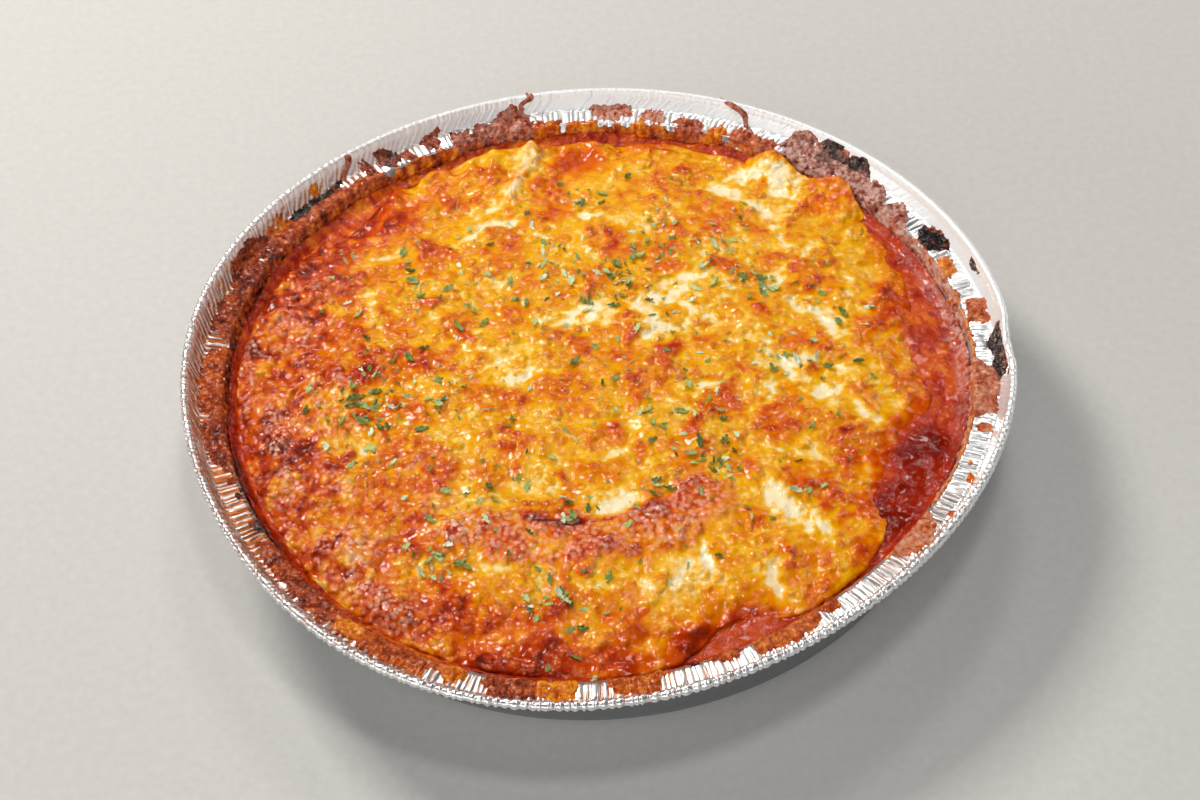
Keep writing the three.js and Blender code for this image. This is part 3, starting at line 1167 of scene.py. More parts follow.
def settle_in(
    piece: bpy.types.Object, slot: Slot, *nodes: str, material: bpy.types.Material | None = None
) -> bpy.types.Object:
    """Make a piece ride with the object and stand for its solids.

    Args:
        piece: The finished piece.
        slot: The record's material slot; not used.
        *nodes: The solids that it stands for.
        material: Its material, if it has none yet.

    Returns:
        The same piece.
    """
    if material:
        piece.data.materials.append(material)
    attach(piece, "root")
    if nodes:
        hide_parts(*nodes)
    LOG.info("%s: %d faces", piece.name, len(piece.data.polygons))
    return piece

# ---------------------------------------------------------------- the foil pan


@dataclass(frozen=True)
class Profile:
    """The rows of points that are turned into the pan, from the pole below to the pole above.

    Each has its radius and height, the direction in which it is pressed, its share of the
    pleats, its run, and 1 on the outside or 0 on the food side.
    """

    points: Array
    press: Array
    share: Array
    run: Array
    outer: Array


@dataclass
class FoilPan:
    """The pan, pressed from one sheet of foil: about 350 pleats gather its rim."""

    form: PanForm = PanForm()
    columns: int = 2100
    pleats: int = 346
    pleat_depth: float = 0.7
    slant: float = 0.42
    slant_start: float = 5.5
    crease: float = 0.3
    crumple: float = 1.6
    seed: int = 4
    outer_parts: tuple[int, ...] = (1, 1, 1, 1, 1, 3, 4, 3)
    inner_parts: tuple[int, ...] = (1, 1, 1, 1, 1, 3, 7, 5)
    hem_share: float = 0.7
    hem_run: float = 10.2
    most_pleated: float = 1.15
    films: tuple[Stretch, ...] = (
        Stretch(186, 36, 1.7), Stretch(225, 18, 0.9), Stretch(270, 25, 0.6), Stretch(318, 9, 0.6),
        Stretch(138, 24, 0.6),
    )
    calm: tuple[Stretch, ...] = (Stretch(14, 42, 1.2), Stretch(95, 45, 0.8))
    lively: tuple[Stretch, ...] = (Stretch(262, 60, 0.45), Stretch(185, 40, 0.3))
    matt: tuple[Stretch, ...] = (Stretch(28, 50), Stretch(105, 48))
    crumpled: Stretch = Stretch(-3, 6)

    def profile(self) -> Profile:
        """Lay out the profile: the outside, the rolled hem with its bead, and the food side.

        Returns:
            The profile.
        """
        form = self.form
        outside, inside = form.outside(), offset_line(form.outside(), form.foil)
        lower = self.between(outside, self.outer_parts)
        upper = self.between(inside, self.inner_parts)[::-1]
        middle = np.array([form.rim_radius - form.hem_radius, form.height - form.hem_radius - 0.22])
        turns = np.radians([-75, -48, -24, -6, 4, 14, 32, 54, 76, 100, 124, 148])
        # A groove all round parts the hem's bead from its roll.
        beads = 1.17 - 0.3 * swell(turns - math.radians(4), 0.19)
        outward = np.stack([np.cos(turns), np.sin(turns)], axis=1)
        hem = middle + beads[:, None] * outward
        hem_part = slice(len(lower), len(lower) + len(hem))
        hem_run = self.hem_run + 0.5 * np.arange(len(hem))[::-1] / len(hem)
        run = np.concatenate([self.run_on(lower, outside), hem_run, self.run_on(upper, inside)])
        press = np.stack(form.on_foil(run)[2:], axis=1)
        press[hem_part] = outward
        share = ease(-0.3, 1.6, run) * (1 - 0.35 * ease(6, 9, run))
        share[hem_part] = self.hem_share
        points = np.vstack([lower, hem, upper])
        return Profile(points, press, share, run, (np.arange(len(points)) < len(lower)).astype(float))

    @staticmethod
    def between(points: Array, parts: tuple[int, ...]) -> Array:
        """Divide the stretches of a line into parts.

        Args:
            points: The line's corners, one more than the stretches.
            parts: How many parts each stretch has.

        Returns:
            All the points, the corners among them.
        """
        made = [points[:1]]
        for start, end, count in zip(points, points[1:], parts):
            steps = np.arange(1, count + 1)[:, None] / count
            made.append(start + (end - start) * steps)
        return np.vstack(made)

    @staticmethod
    def run_on(points: Array, line: Array) -> Array:
        """Measure the runs of points on a face of the foil.

        Args:
            points: Points on the line, as rows of radius and height.
            line: The face's corners, of which the seventh is the ledge's.

        Returns:
            The runs, less than 0 below the ledge.
        """
        ways = np.diff(line, axis=0)
        lengths = np.linalg.norm(ways, axis=1)
        starts = np.concatenate([[0], np.cumsum(lengths)])
        found = []
        for point in points:
            steps = np.clip(np.sum((point - line[:-1]) * ways, axis=1) / lengths**2, 0, 1)
            nearest = line[:-1] + steps[:, None] * ways
            best = int(np.argmin(np.hypot(*(nearest - point).T)))
            found.append(starts[best] + steps[best] * lengths[best] - starts[6])
        return np.array(found)

    def smooth_form(self) -> bpy.types.Object:
        """Build the pan without its pleats, with what the tree needs to press them.

        Returns:
            The pan, as the tree takes it.
        """
        profile, form = self.profile(), self.form
        turned = (np.arange(self.columns) * TURN / self.columns)[None, :]
        points, press, share, run, outer = (
            values[1:-1][:, None] for values in
            (profile.points, profile.press, profile.share, profile.run, profile.outer)
        )
        radius, height = points[..., 0], points[..., 1]
        placed = form.dented(radius, height, turned)
        leant = turned + TURN / self.pleats * self.slant * np.clip(run - self.slant_start, 0, 5)
        cosine, sine = np.cos(turned), np.sin(turned)
        # The flange's foot is fully pleated. Above it, quiet stretches are nearly smooth.
        quiet = ease(5, 7.5, run) * np.clip(summed(self.calm, turned), 0, 0.93)
        film = summed(self.films, turned) * ease(-2, 1, run) * ease(11, 9, run) * (1 - outer)
        matt = ease(5.2, 7.0, run) * (1 - outer) * np.clip(summed(self.matt, turned), 0, 1)
        pressed = (1 - quiet) * (0.72 + summed(self.lively, turned))
        values = {
            "press": (press[..., 0] * cosine, press[..., 0] * sine, press[..., 1]),
            "gathers": (form.rim_radius * np.cos(leant), form.rim_radius * np.sin(leant), 0.12 * run),
            "angle": turned,
            "pleat": share * np.minimum(pressed, self.most_pleated),
            "gathered": ease(-0.3, 1.0, run) * (1 - 0.75 * quiet),
            "run": run,
            "outer": outer,
            "film": film,
            "matt": matt,
            "crumple": self.crumpled.share(turned) * ease(2, 5, run),
            "wrinkle": (1 - share) * ease(2.0, 8.0, height),
        }
        fields = {}
        for label, grid in values.items():
            parts = grid if isinstance(grid, tuple) else (grid,)
            flat = np.stack([np.broadcast_to(part, placed.shape[:2]).ravel() for part in parts], axis=-1)
            fields[label] = np.pad(flat, ((1, 1), (0, 0))).squeeze()
        below, above = ([[0, 0, profile.points[k, 1]]] for k in (0, -1))
        solid = np.concatenate([below, placed.reshape(-1, 3), above])
        return make_piece("smooth_pan", solid, turned_faces(len(placed), self.columns), fields)

    def pleating(self) -> bpy.types.NodeTree:
        """Build the tree that presses uneven pleats, creases and dents into the foil.

        Returns:
            The tree.
        """
        tree, given = new_tree("foil pleating", {
            "Pleats": ("Int", self.pleats),
            "Depth": ("Float", self.pleat_depth * MM),
            "Slant": ("Float", self.slant),
            "Slant Start": ("Float", self.slant_start),
            "Crease": ("Float", self.crease * MM),
            "Crumple": ("Float", self.crumple * MM),
            "Seed": ("Int", self.seed),
            "Foil": ("Material", None),
        })
        angle, share, run, crumple, wrinkle = named(tree, "angle", "pleat", "run", "crumple", "wrinkle")
        (press,) = named(tree, "press", kind="FLOAT_VECTOR")
        joins = {0: angle.math("COSINE"), 1: angle.math("SINE"), 2: given["Seed"]}
        around = add_value(tree, "ShaderNodeCombineXYZ", joins)
        # The pleats drift apart and together, and lean on the flange.
        even = angle * given["Pleats"].math("DIVIDE", TURN)
        drifted = around.noise(24.0, 2.0) * 3.0 + even
        beyond = (run - given["Slant Start"]).math("MAXIMUM", 0.0)
        fold = (beyond * given["Slant"] + drifted).math("PINGPONG", 0.5)
        round_fold = fold.mapped(0.0, 0.47, -0.5, 0.5, interpolation_type="SMOOTHSTEP")
        uneven = around.noise(70.0, 1.0).mapped(0.3, 0.7, 0.45, 1.25)
        deep = round_fold * uneven * share * given["Depth"]
        creases = (around.noise(38.0, 3.0) - 0.5) * wrinkle * given["Crease"] + deep
        position = add_value(tree, "GeometryNodeInputPosition")
        depth = (position.noise(230.0, 2.0) - 0.55) * crumple * given["Crumple"] + creases
        offset = add_value(tree, "ShaderNodeVectorMath", {0: press, "Scale": depth}, operation="SCALE")
        marked = add_value(tree, "GeometryNodeStoreNamedAttribute", {
            "Geometry": given["Geometry"], "Name": "valley", "Value": round_fold.mapped(0.3, -0.4, 0.12, 1.0),
        }, data_type="FLOAT", domain="POINT")
        pressed = add_value(tree, "GeometryNodeSetPosition", {"Geometry": marked, "Offset": offset})
        dress(pressed, given["Foil"])
        return tree

    def build(self, finish: FoilFinish) -> bpy.types.Object:
        """Build the pleated pan.

        Args:
            finish: The foil's finish.

        Returns:
            The finished piece.
        """
        inputs = {"Foil": finish.material()}
        return settle_in(
            realised(self.smooth_form(), self.pleating(), inputs, "foil_pan_pleated"), Slot.FOIL, "foil_pan"
        )


# ---------------------------------------------------------------- the cheese

# How much each feature of the cheese adds to its baking, the sauce soaked into it, the pale pink
# highlight painted on it, its grain, and its height in millimetres. Shade paints a darker line into the
# baking.
BAKING = {
    "always": 0.21, "far": 0.035, "outward": -0.03, "patch": 0.22, "big": 0.22, "patchy tops": 0.14,
    "small": 0.09, "fine": 0.05, "brown": 0.18, "left": 0.06, "ring": 0.16, "ring lumps": -0.3,
    "bare": -0.44, "fold": 0.04, "toast": 0.2, "puffed": -0.14, "ridge": -0.12, "shade": 0.35,
    "glaze": 0.2, "shore": 0.14, "valley": -0.04, "pooled": 0.3, "side": 0.03,
}
SOAKING = {
    "ring": 0.6, "glaze": 0.9, "toast": 0.3, "shore": 0.95, "left patch": 0.3, "puff": -0.4,
    "fold": -0.2, "ridge": -0.3, "pooled": 0.6,
}
PAINTED_HIGHLIGHTING = {"toast": 0.45, "ridge": 1.0, "fold": 0.9}
GRAINING = {
    "always": 0.55, "cluster": 0.75, "left": 0.35, "toast": 0.5, "puff": -0.4, "glaze": -0.6,
    "shore": -0.5, "pale": -0.5, "fold": 0.6, "ridge": 0.5, "valley": -0.5,
}
RAISING = {
    "always": -0.6, "big": 0.5, "tops in patches": 0.9, "clustered": 0.65, "pale": -0.35, "waves": 0.3,
    "ring lumps": 1.2, "ring": -0.3, "left fine": 0.14, "puff": 1.0, "ridge": 1.5, "toast": 0.8,
    "inner glaze": -0.9, "shade": -0.8, "fold": 1.3, "valley": -0.6,
}


@dataclass
class CheeseTop:
    """The browned cheese: a low dome of melted cheese with blisters, pale patches and sauce."""

    form: FoodForm = FoodForm()
    cells: int = 288
    cream: tuple[Spot, ...] = (
        Spot(3, 62, 15, 5, -4), Spot(2, 21, 16, 9, 4, 1.1), Spot(-12, 20, 6, 8, 70, 0.7),
        Spot(22, 29, 12, 9, 20, 0.9), Spot(30, 35, 14, 4, 10, 0.7), Spot(17, 14, 13, 5, 70, 0.8),
        Spot(25, 24, 12, 4, -40, 0.8), Spot(-26, 72, 14, 4, 40, 0.6), Spot(-24, 62, 14, 4, 15, 0.8),
        Spot(-34, 56, 10, 3, 30, 0.5), Spot(61, 72, 15, 8, 80, 0.9), Spot(50, 77, 10, 6, 10, 0.7),
        Spot(42, 72, 10, 6, -30, 0.8), Spot(54, 60, 14, 5, -60, 0.6), Spot(56, 50, 12, 5, -70, 0.8),
        Spot(54, 32, 14, 4, 60, 0.6), Spot(67, 11, 14, 5, -60, 0.9), Spot(55, -2, 14, 7, 20, 0.9),
        Spot(60, -14, 12, 5, -50, 0.9), Spot(50, -10, 10, 5, 40, 0.7), Spot(72, -22, 10, 4, -40, 0.6),
        Spot(48, 8, 8, 4, 0, 0.5), Spot(46, -52, 18, 6, -42), Spot(62, -56, 14, 5, 50, 0.7),
        Spot(56, -62, 10, 5, -30, 0.6), Spot(42, -77, 11, 6, 70), Spot(4, -47, 11, 7, 10),
        Spot(4, -31, 10, 6, 60, 0.9), Spot(12, -36, 8, 4, 60, 0.6), Spot(-64, -25, 7, 5, 0, 0.8),
        Spot(-55, 60, 12, 4, 40, 0.5), Spot(-54, 52, 10, 4, 10, 0.6), Spot(-62, 34, 14, 3, -80, 0.7),
        Spot(-60, 28, 10, 4, 60, 0.5), Spot(-31, 16, 14, 3, 88, 0.8), Spot(-35, 10, 12, 4, 70, 0.6),
        Spot(-18, 0, 9, 4, 5, 0.6), Spot(-28, 4, 10, 3, 20, 0.5), Spot(-66, -36, 10, 5, -60, 0.6),
        Spot(26, -68, 12, 4, 85, 0.7), Spot(20, -70, 8, 4, 60, 0.4), Spot(32, -8, 12, 5, 20, 0.6),
        Spot(28, -30, 10, 4, 15, 0.5), Spot(40, -20, 10, 4, 30, 0.5), Spot(64, 40, 10, 4, 60, 0.5),
        Spot(-10, 44, 8, 4, 0, 0.4), Spot(-20, 38, 9, 4, 30, 0.5), Spot(34, 16, 9, 5, 0, 0.6),
        Spot(10, -92, 8, 4, 0, 0.5), Spot(-28, -66, 9, 4, 20, 0.5), Spot(76, 20, 10, 3, -70, 0.5),
        Spot(70, -40, 9, 4, 40, 0.5),
    )
    browned: tuple[Spot, ...] = (
        Spot(0, 3, 15, 12, 0, 0.6), Spot(10, 4, 9, 16, 0, 0.5), Spot(-8, -12, 16, 10, -30, 0.5),
        Spot(-40, 60, 14, 16, 0, 0.5), Spot(-42, 52, 10, 12, 0, 0.6), Spot(-78, 33, 12, 18, 0, 0.6),
        Spot(-62, 14, 10, 10, 0, 0.5), Spot(-52, 20, 12, 12, 0, 0.4), Spot(-18, 52, 10, 10, 0, 0.5),
        Spot(12, 70, 14, 10, 0, 0.4), Spot(-20, 20, 12, 14, 0, 0.5), Spot(-55, -40, 16, 10, -40, 0.5),
        Spot(-22, -22, 16, 14, 0, 0.45), Spot(-40, -30, 14, 10, 0, 0.5), Spot(26, -20, 12, 9, 0, 0.5),
        Spot(40, 58, 12, 8, 0, 0.4), Spot(66, 24, 9, 8, 0, 0.4), Spot(72, 36, 12, 9, 0, 0.4),
        Spot(42, -65, 12, 10, 0, 0.6), Spot(54, -70, 14, 9, 0, 0.5), Spot(36, -84, 16, 7, 20, 0.7),
        Spot(50, -80, 14, 8, 30, 0.5), Spot(18, -50, 14, 12, 0, 0.35), Spot(78, -16, 8, 9, 0, 0.6),
        Spot(80, -26, 8, 10, 0, 0.5), Spot(-75, 0, 14, 20, 0, 0.4), Spot(-40, -80, 16, 12, -30, 0.4),
        Spot(50, -48, 44, 36, 0, 0.8),
    )
    puffs: tuple[Spot, ...] = (
        Spot(-24, 94, 15, 10, 12, 1.5), Spot(-50, 83, 12, 8, 30, 1.1), Spot(14, 88, 26, 9, -6, 0.8),
    )
    ridge: tuple[tuple[float, float], ...] = ((-12.5, 100), (-14, 92), (-17.5, 84), (-21, 74))
    crescent: tuple[tuple[float, float], ...] = ((-34, -54), (-18, -58), (0, -59.5), (16, -56.5), (28, -50))
    # Along this line, under the crescent's fold, the cheese dips and is painted darker as shade.
    shaded: tuple[tuple[float, float], ...] = ((-20, -51), (-9, -53.5), (2, -53))
    folded: tuple[Stretch, ...] = (Stretch(186, 32), Stretch(228, 20, 0.3))
    ringed: tuple[Stretch, ...] = (Stretch(205, 62), Stretch(264, 26, 0.45), Stretch(152, 24, 0.8))
    ruffled: Stretch = Stretch(112, 50)
    # Patches where folds are raised and a pale pink highlight is painted on them.
    glinting_folds: tuple[Spot, ...] = (
        Spot(-66, -58, 17, 13, -50), Spot(-62, -71, 13, 9, -45, 0.8), Spot(-52, -79, 13, 9, -30, 0.8),
        Spot(-76, -6, 7, 14, 0, 0.9), Spot(-82, -33, 6, 14, 10, 0.9), Spot(-88, -14, 6, 22, 5),
        Spot(-97, 16, 4, 28, 6, 0.9), Spot(-86, 30, 6, 14, -15, 0.8), Spot(-69, -3, 5, 18, 5, 0.6),
        Spot(-38, -53, 14, 9, 0, 0.7), Spot(-50, -30, 11, 8, 0, 0.6), Spot(-46, -44, 10, 8, 0, 0.6),
        Spot(-80, 22, 4, 12, 0, 0.6), Spot(10, -76, 12, 8, 0, 0.4), Spot(-74, 40, 8, 10, 30, 0.5),
    )
    glazed: tuple[Swell, ...] = (
        Swell(Stretch(138, 14), 96, 9), Swell(Stretch(90.5, 4.5, 0.9), 89, 6),
        Swell(Stretch(288, 9), 97, 7), Swell(Stretch(262, 13, 0.8), 97, 5),
        Swell(Stretch(190, 12, 0.6), 99, 5),
    )
    highest: float = 33.5

    def features(self, x: Array, y: Array) -> Fields:
        """Work out how much of each feature the cheese has at places on it.

        Args:
            x: Places along x, in millimetres round the middle, before the rim's bend.
            y: Places along y.

        Returns:
            The features, most of them from 0 to 1.
        """
        radius, angle = np.hypot(x, y), np.arctan2(y, x)
        within = self.form.edge(angle) - radius
        bent = bent_x, bent_y = x + 2.4 * cloud(x, y, 9, 3), y + 2.4 * cloud(x, y, 9, 4)
        ragged = radius + 4 * cloud(x, y, 18, 5)
        left = ease(5, 95, -x - 0.25 * y)
        ring = ease(72, 90, ragged) * np.clip(summed(self.ringed, angle), 0, 1)
        big, tops, small = (domes(*bent, size, seed, 0.85) for size, seed in ((15, 7), (8.5, 8), (4.4, 9)))
        lumps = domes(*bent, 7, 30, 0.95)
        patch = ease(-0.45, 0.6, cloud(*bent, 14, 12, 3) + 0.4 * cloud(x, y, 42, 11, 2))
        cluster = ease(-0.15, 0.5, cloud(*bent, 9, 18, 2) + 0.5 * (tops - 0.3) + 0.35 * left)
        fine = cloud(x, y, 2.6, 14, 2)
        # Strings of cheese that stayed pale lie slantwise, as it was strewn.
        slanted = (0.656 * x - 0.755 * y) / 2.6, 0.755 * x + 0.656 * y
        streak = ease(0.1, 0.6, cloud(*slanted, 7, 24)) * ease(-15, 45, x) * ease(95, 80, radius)
        pale = (1.05 * summed(self.cream, *bent) + 0.3 * streak) * (1 + cloud(x, y, 4, 13))
        pale = np.clip(pale, 0, 1.05)
        puff = summed(self.puffs, x, y)
        toast = ease(10, 5, line_distance(*bent, self.crescent) + 1.5 * cloud(x, y, 7, 15))
        glaze = np.clip(1.2 * summed(self.glazed, radius, angle), 0, 1)
        shore = ease(11, 0.5, within + 3 * cloud(x, y, 8, 19)) * self.form.bay(angle, 2)
        # On the left the cheese has folded as it ran down the wall: dry folds with a pale pink highlight
        # painted on them, saucy valleys.
        side = np.clip(summed(self.folded, angle), 0, 1) * ease(58, 86, ragged) * ease(-0.5, 2, within)
        sweep = cloud(33 * np.mod(angle, TURN), radius - 3.2 * cloud(x, y, 11, 72, 2), 5.5, 73)
        glinting = summed(self.glinting_folds, bent_x, y) * (0.9 + 0.7 * cloud(x, y, 5, 75))
        valley = side * ease(-0.05, -0.4, sweep) * (1 - np.clip(glinting, 0, 1))
        return {
            "radius": radius, "angle": angle, "within": within, "far": y / 100, "patch": patch, "big": big,
            "small": small, "fine": fine, "left": left, "ring": ring, "pale": pale, "puff": puff,
            "toast": toast, "glaze": glaze, "shore": shore, "side": side, "valley": valley,
            "cluster": cluster,
            "outward": ease(30, 90, radius),
            "brown": summed(self.browned, *bent),
            "puffed": np.clip(puff, 0, 1),
            "ridge": swell(line_distance(bent_x, y, self.ridge), 1.8),
            "shade": swell(line_distance(x, y, self.shaded), 1.3),
            "fold": np.clip(0.6 * side * ease(0.1, 0.5, sweep) + glinting, 0, 1.1),
            "pooled": valley * ease(-0.2, 0.4, cloud(x, y, 8, 74, 2)),
            "patchy tops": tops * (0.4 + patch),
            "tops in patches": tops * (0.35 + 0.65 * patch),
            "clustered": small * (0.3 + cluster),
            "ring lumps": ring * lumps,
            "left patch": left * patch,
            "left fine": fine * (0.4 + left),
            "inner glaze": glaze * (1 - ring),
            "bare": pale * (1 - 0.6 * toast),
            "waves": cloud(x, y, 12, 16, 2),
        }

    def height(self, x: Array, y: Array, parts: Fields) -> Array:
        """Work out the cheese's height.

        Args:
            x: Places along x, in millimetres round the middle, before the rim's bend.
            y: Places along y.
            parts: The features there.

        Returns:
            The heights.
        """
        form = self.form
        radius, angle, within = parts["radius"], parts["angle"], parts["within"]
        degrees = np.degrees(angle)
        # Under the pasta edge the cheese lies flat and a little lower.
        calm = ease(91, 94, radius) * ease(33, 36, degrees) * ease(60, 57, degrees)
        relief = weighed(parts, RAISING) * (1 - calm) - 0.35 * calm
        rim = self.ruffled.share(angle) * ease(14, 3, within) * ease(-0.5, 1.5, within)
        relief = relief + rim * (2.6 * cloud(x, y, 9, 77, 2) + 0.4)
        # It thins out towards its edge, and more gently where it runs into a bay.
        bay = form.bay(angle)
        waver = within + bay * (1.4 * cloud(x, y, 6, 76) + 0.6)
        thinning = (0.7 + 0.8 * bay) * ease(2.0 + 5.4 * bay, 0, waver)
        relief = relief * ease(-0.5, 2.5 - 1.5 * rim, within) - thinning
        return np.clip(form.dome(radius, angle) + relief, form.floor + 0.2, self.highest)

    def surface(self, x: Array, y: Array) -> Fields:
        """Work out the cheese's height and look at places on it.

        Args:
            x: Places along x, in millimetres round the middle, before the rim's bend.
            y: Places along y.

        Returns:
            The height, and the shares of baking, soaked sauce, pink painted highlight and grain.
        """
        parts = self.features(x, y)
        return {
            "height": self.height(x, y, parts),
            "bake": weighed(parts, BAKING),
            "soak": np.clip(weighed(parts, SOAKING), 0, 1),
            "pink": np.clip(weighed(parts, PAINTED_HIGHLIGHTING), 0, 1),
            "grain": np.clip(weighed(parts, GRAINING), 0.1, 1.4),
        }

    def build(self, finish: CheeseFinish) -> bpy.types.Object:
        """Build the cheese as one closed body, flat below.

        Args:
            finish: The cheese's finish.

        Returns:
            The finished piece.
        """
        form = self.form
        share, angle, rim = disc_grid(self.cells)
        edge = form.edge(angle)
        ragged = 0.45 * cloud(edge * np.cos(angle), edge * np.sin(angle), 4, 71)
        radius = share * (edge + share**4 * ragged)
        fields = self.surface(radius * np.cos(angle), radius * np.sin(angle))
        top = form.pan.settle(radius, fields.pop("height"), angle).reshape(-1, 3)
        foot = form.pan.settle(radius.ravel()[rim], form.floor, angle.ravel()[rim])
        points = np.concatenate([top, foot, [[0, 0, form.floor]]])
        values = {label: np.concatenate([v.ravel(), v.ravel()[rim], [0.5]]) for label, v in fields.items()}
        count, around = len(top), len(rim)
        index = np.arange(count).reshape(share.shape)
        quads = np.stack([index[:-1, :-1], index[:-1, 1:], index[1:, 1:], index[1:, :-1]], axis=-1)
        lower = count + np.arange(around)
        sides = np.stack([rim, lower, np.roll(lower, -1), np.roll(rim, -1)], axis=-1)
        base = np.stack([np.full(around, count + around), np.roll(lower, -1), lower], axis=-1)
        piece = make_piece("cheese_browned", points, [quads.reshape(-1, 4), sides, base], values)
        return settle_in(piece, Slot.CHEESE, "cheese_top", material=finish.material())


# ---------------------------------------------------------------- the sauce and pasta below

# How much each feature of the sauce adds to the depth of its colour, its dried film, its grain,
# and its height in millimetres.
DEEPENING = {
    "always": 0.48, "cloudy": 0.14, "pool": 0.24, "clear band": -0.26, "left": 0.42, "baked": 0.12,
    "far streaks": 0.34, "far": -0.16, "band streaks": 0.3, "near bay": -0.2,
}
SAUCE_GRAIN = {"always": 0.55, "baked wall": 0.9, "pool": -0.25, "band": 0.35}
SAUCE_RAISING = {
    "bubbles": 0.35, "waves": 0.22, "pool": 0.5, "wall lumps": 0.7, "wall crumbs": 0.35, "far wall": 0.4,
}


@dataclass
class SaucedBody:
    """The sauced pasta that fills the pan: it shows as sauce where the cheese stops short."""

    form: FoodForm = FoodForm()
    columns: int = 1260
    steps: int = 20
    pools: tuple[Swell, ...] = (Swell(Stretch(324, 8), 94, 7), Swell(Stretch(337, 8), 93, 7))
    band: Stretch = Stretch(3, 17)
    far: tuple[Stretch, ...] = (Stretch(112, 62), Stretch(240, 24, 0.8))
    left: Stretch = Stretch(200, 15)
    near: Stretch = Stretch(283, 12, 0.3)
    near_bay: Stretch = Stretch(289, 8)

    def build(self, finish: SauceFinish) -> bpy.types.Object:
        """Build the body with its pool, its band and the crust against the wall.

        Args:
            finish: The sauce's finish.

        Returns:
            The finished piece.
        """
        form, pan = self.form, self.form.pan
        angle = np.arange(self.columns) * TURN / self.columns
        line = offset_line(pan.wall_line(), pan.foil + form.gap)[:-1]
        wall_top = form.crust_top(angle)
        wall = [*line[1:], (form.wall_radius(wall_top), wall_top)]
        shore, outer = form.edge(angle) - 1.2 - 5 * form.bay(angle), form.wall_radius(wall_top) - 0.25
        radius = outer + (shore - outer) * (np.arange(self.steps) / (self.steps - 1))[:, None]
        look = self.top(radius, np.broadcast_to(angle, radius.shape), outer)
        bottom = form.floor - form.gap
        rows = [*wall, *zip(radius, look.pop("height")), (shore, bottom)]
        placed = np.array([pan.settle(*row, angle) for row in rows])
        # Outside the top, where the food and the foil hide it, the look is even.
        fields = {}
        for label, rest in (("tone", 0.75), ("film", 0.0), ("grain", 0.4)):
            grid = np.pad(look[label], ((len(wall), 1), (0, 0)), constant_values=rest)
            fields[label] = np.pad(grid.ravel(), 1, constant_values=rest)
        points = np.concatenate([[[0, 0, line[0, 1]]], placed.reshape(-1, 3), [[0, 0, bottom]]])
        piece = make_piece("sauce_and_pasta", points, turned_faces(len(rows), self.columns), fields)
        return settle_in(piece, Slot.SAUCE, "lasagna_body", material=finish.material())

    def top(self, radius: Array, angle: Array, outer: Array) -> Fields:
        """Work out the sauce's height and look between the wall and the cheese.

        Args:
            radius: The places' distances from the middle, in millimetres.
            angle: Their angles in radians.
            outer: The radius at the wall, for each angle.

        Returns:
            The height, and the shares of depth of colour, dried film and grain.
        """
        form = self.form
        x, y = radius * np.cos(angle), radius * np.sin(angle)
        from_wall = outer - radius
        band = self.band.share(angle)
        far = np.clip(summed(self.far, angle), 0, 1)
        wall = ease(2.6 + 1.2 * far, 0, from_wall + 0.5 * cloud(x, y, 4, 41))
        pool = ease(0.15, 0.7, np.maximum(*(part.share(radius, angle) for part in self.pools)))
        left = self.left.share(angle) * ease(2.4, 1, from_wall) + self.near.share(angle)
        streaks = cloud(98 * np.mod(angle, TURN), 0.3 * radius, 2.6, 48, 2)
        parts = {
            "pool": pool, "far": far, "baked wall": wall,
            "band": band * (1 - pool),
            "clear band": band * (1 - pool) * ease(2, 6, from_wall),
            "band streaks": band * ease(-0.1, 0.5, cloud(28 * angle, radius, 4, 49)),
            "cloudy": cloud(x, y, 10, 44),
            "left": np.clip(left, 0, 1) * (0.7 + 0.8 * cloud(x, y, 9, 45)),
            "baked": wall * (1 - band - far),
            "far streaks": far * streaks,
            "near bay": self.near_bay.share(angle),
            "bubbles": domes(x, y, 4.5, 42) * (0.5 + pool),
            "waves": cloud(x, y, 5, 43),
            "wall lumps": wall * domes(x, y, 2.8, 46),
            "wall crumbs": wall * cloud(x, y, 2, 47, 2),
            "far wall": wall * far,
        }
        level = form.sauce_top(angle) + (form.crust_top(angle) - form.sauce_top(angle)) * wall
        dried = band * ease(5.0, 1.2, from_wall + 1.4 * cloud(x, y, 5, 50))
        return {
            "height": level + weighed(parts, SAUCE_RAISING),
            "tone": weighed(parts, DEEPENING),
            "film": np.clip(dried, 0, 1) * (1 - pool),
            "grain": weighed(parts, SAUCE_GRAIN),
        }


# ---------------------------------------------------------------- the ruffled pasta edge


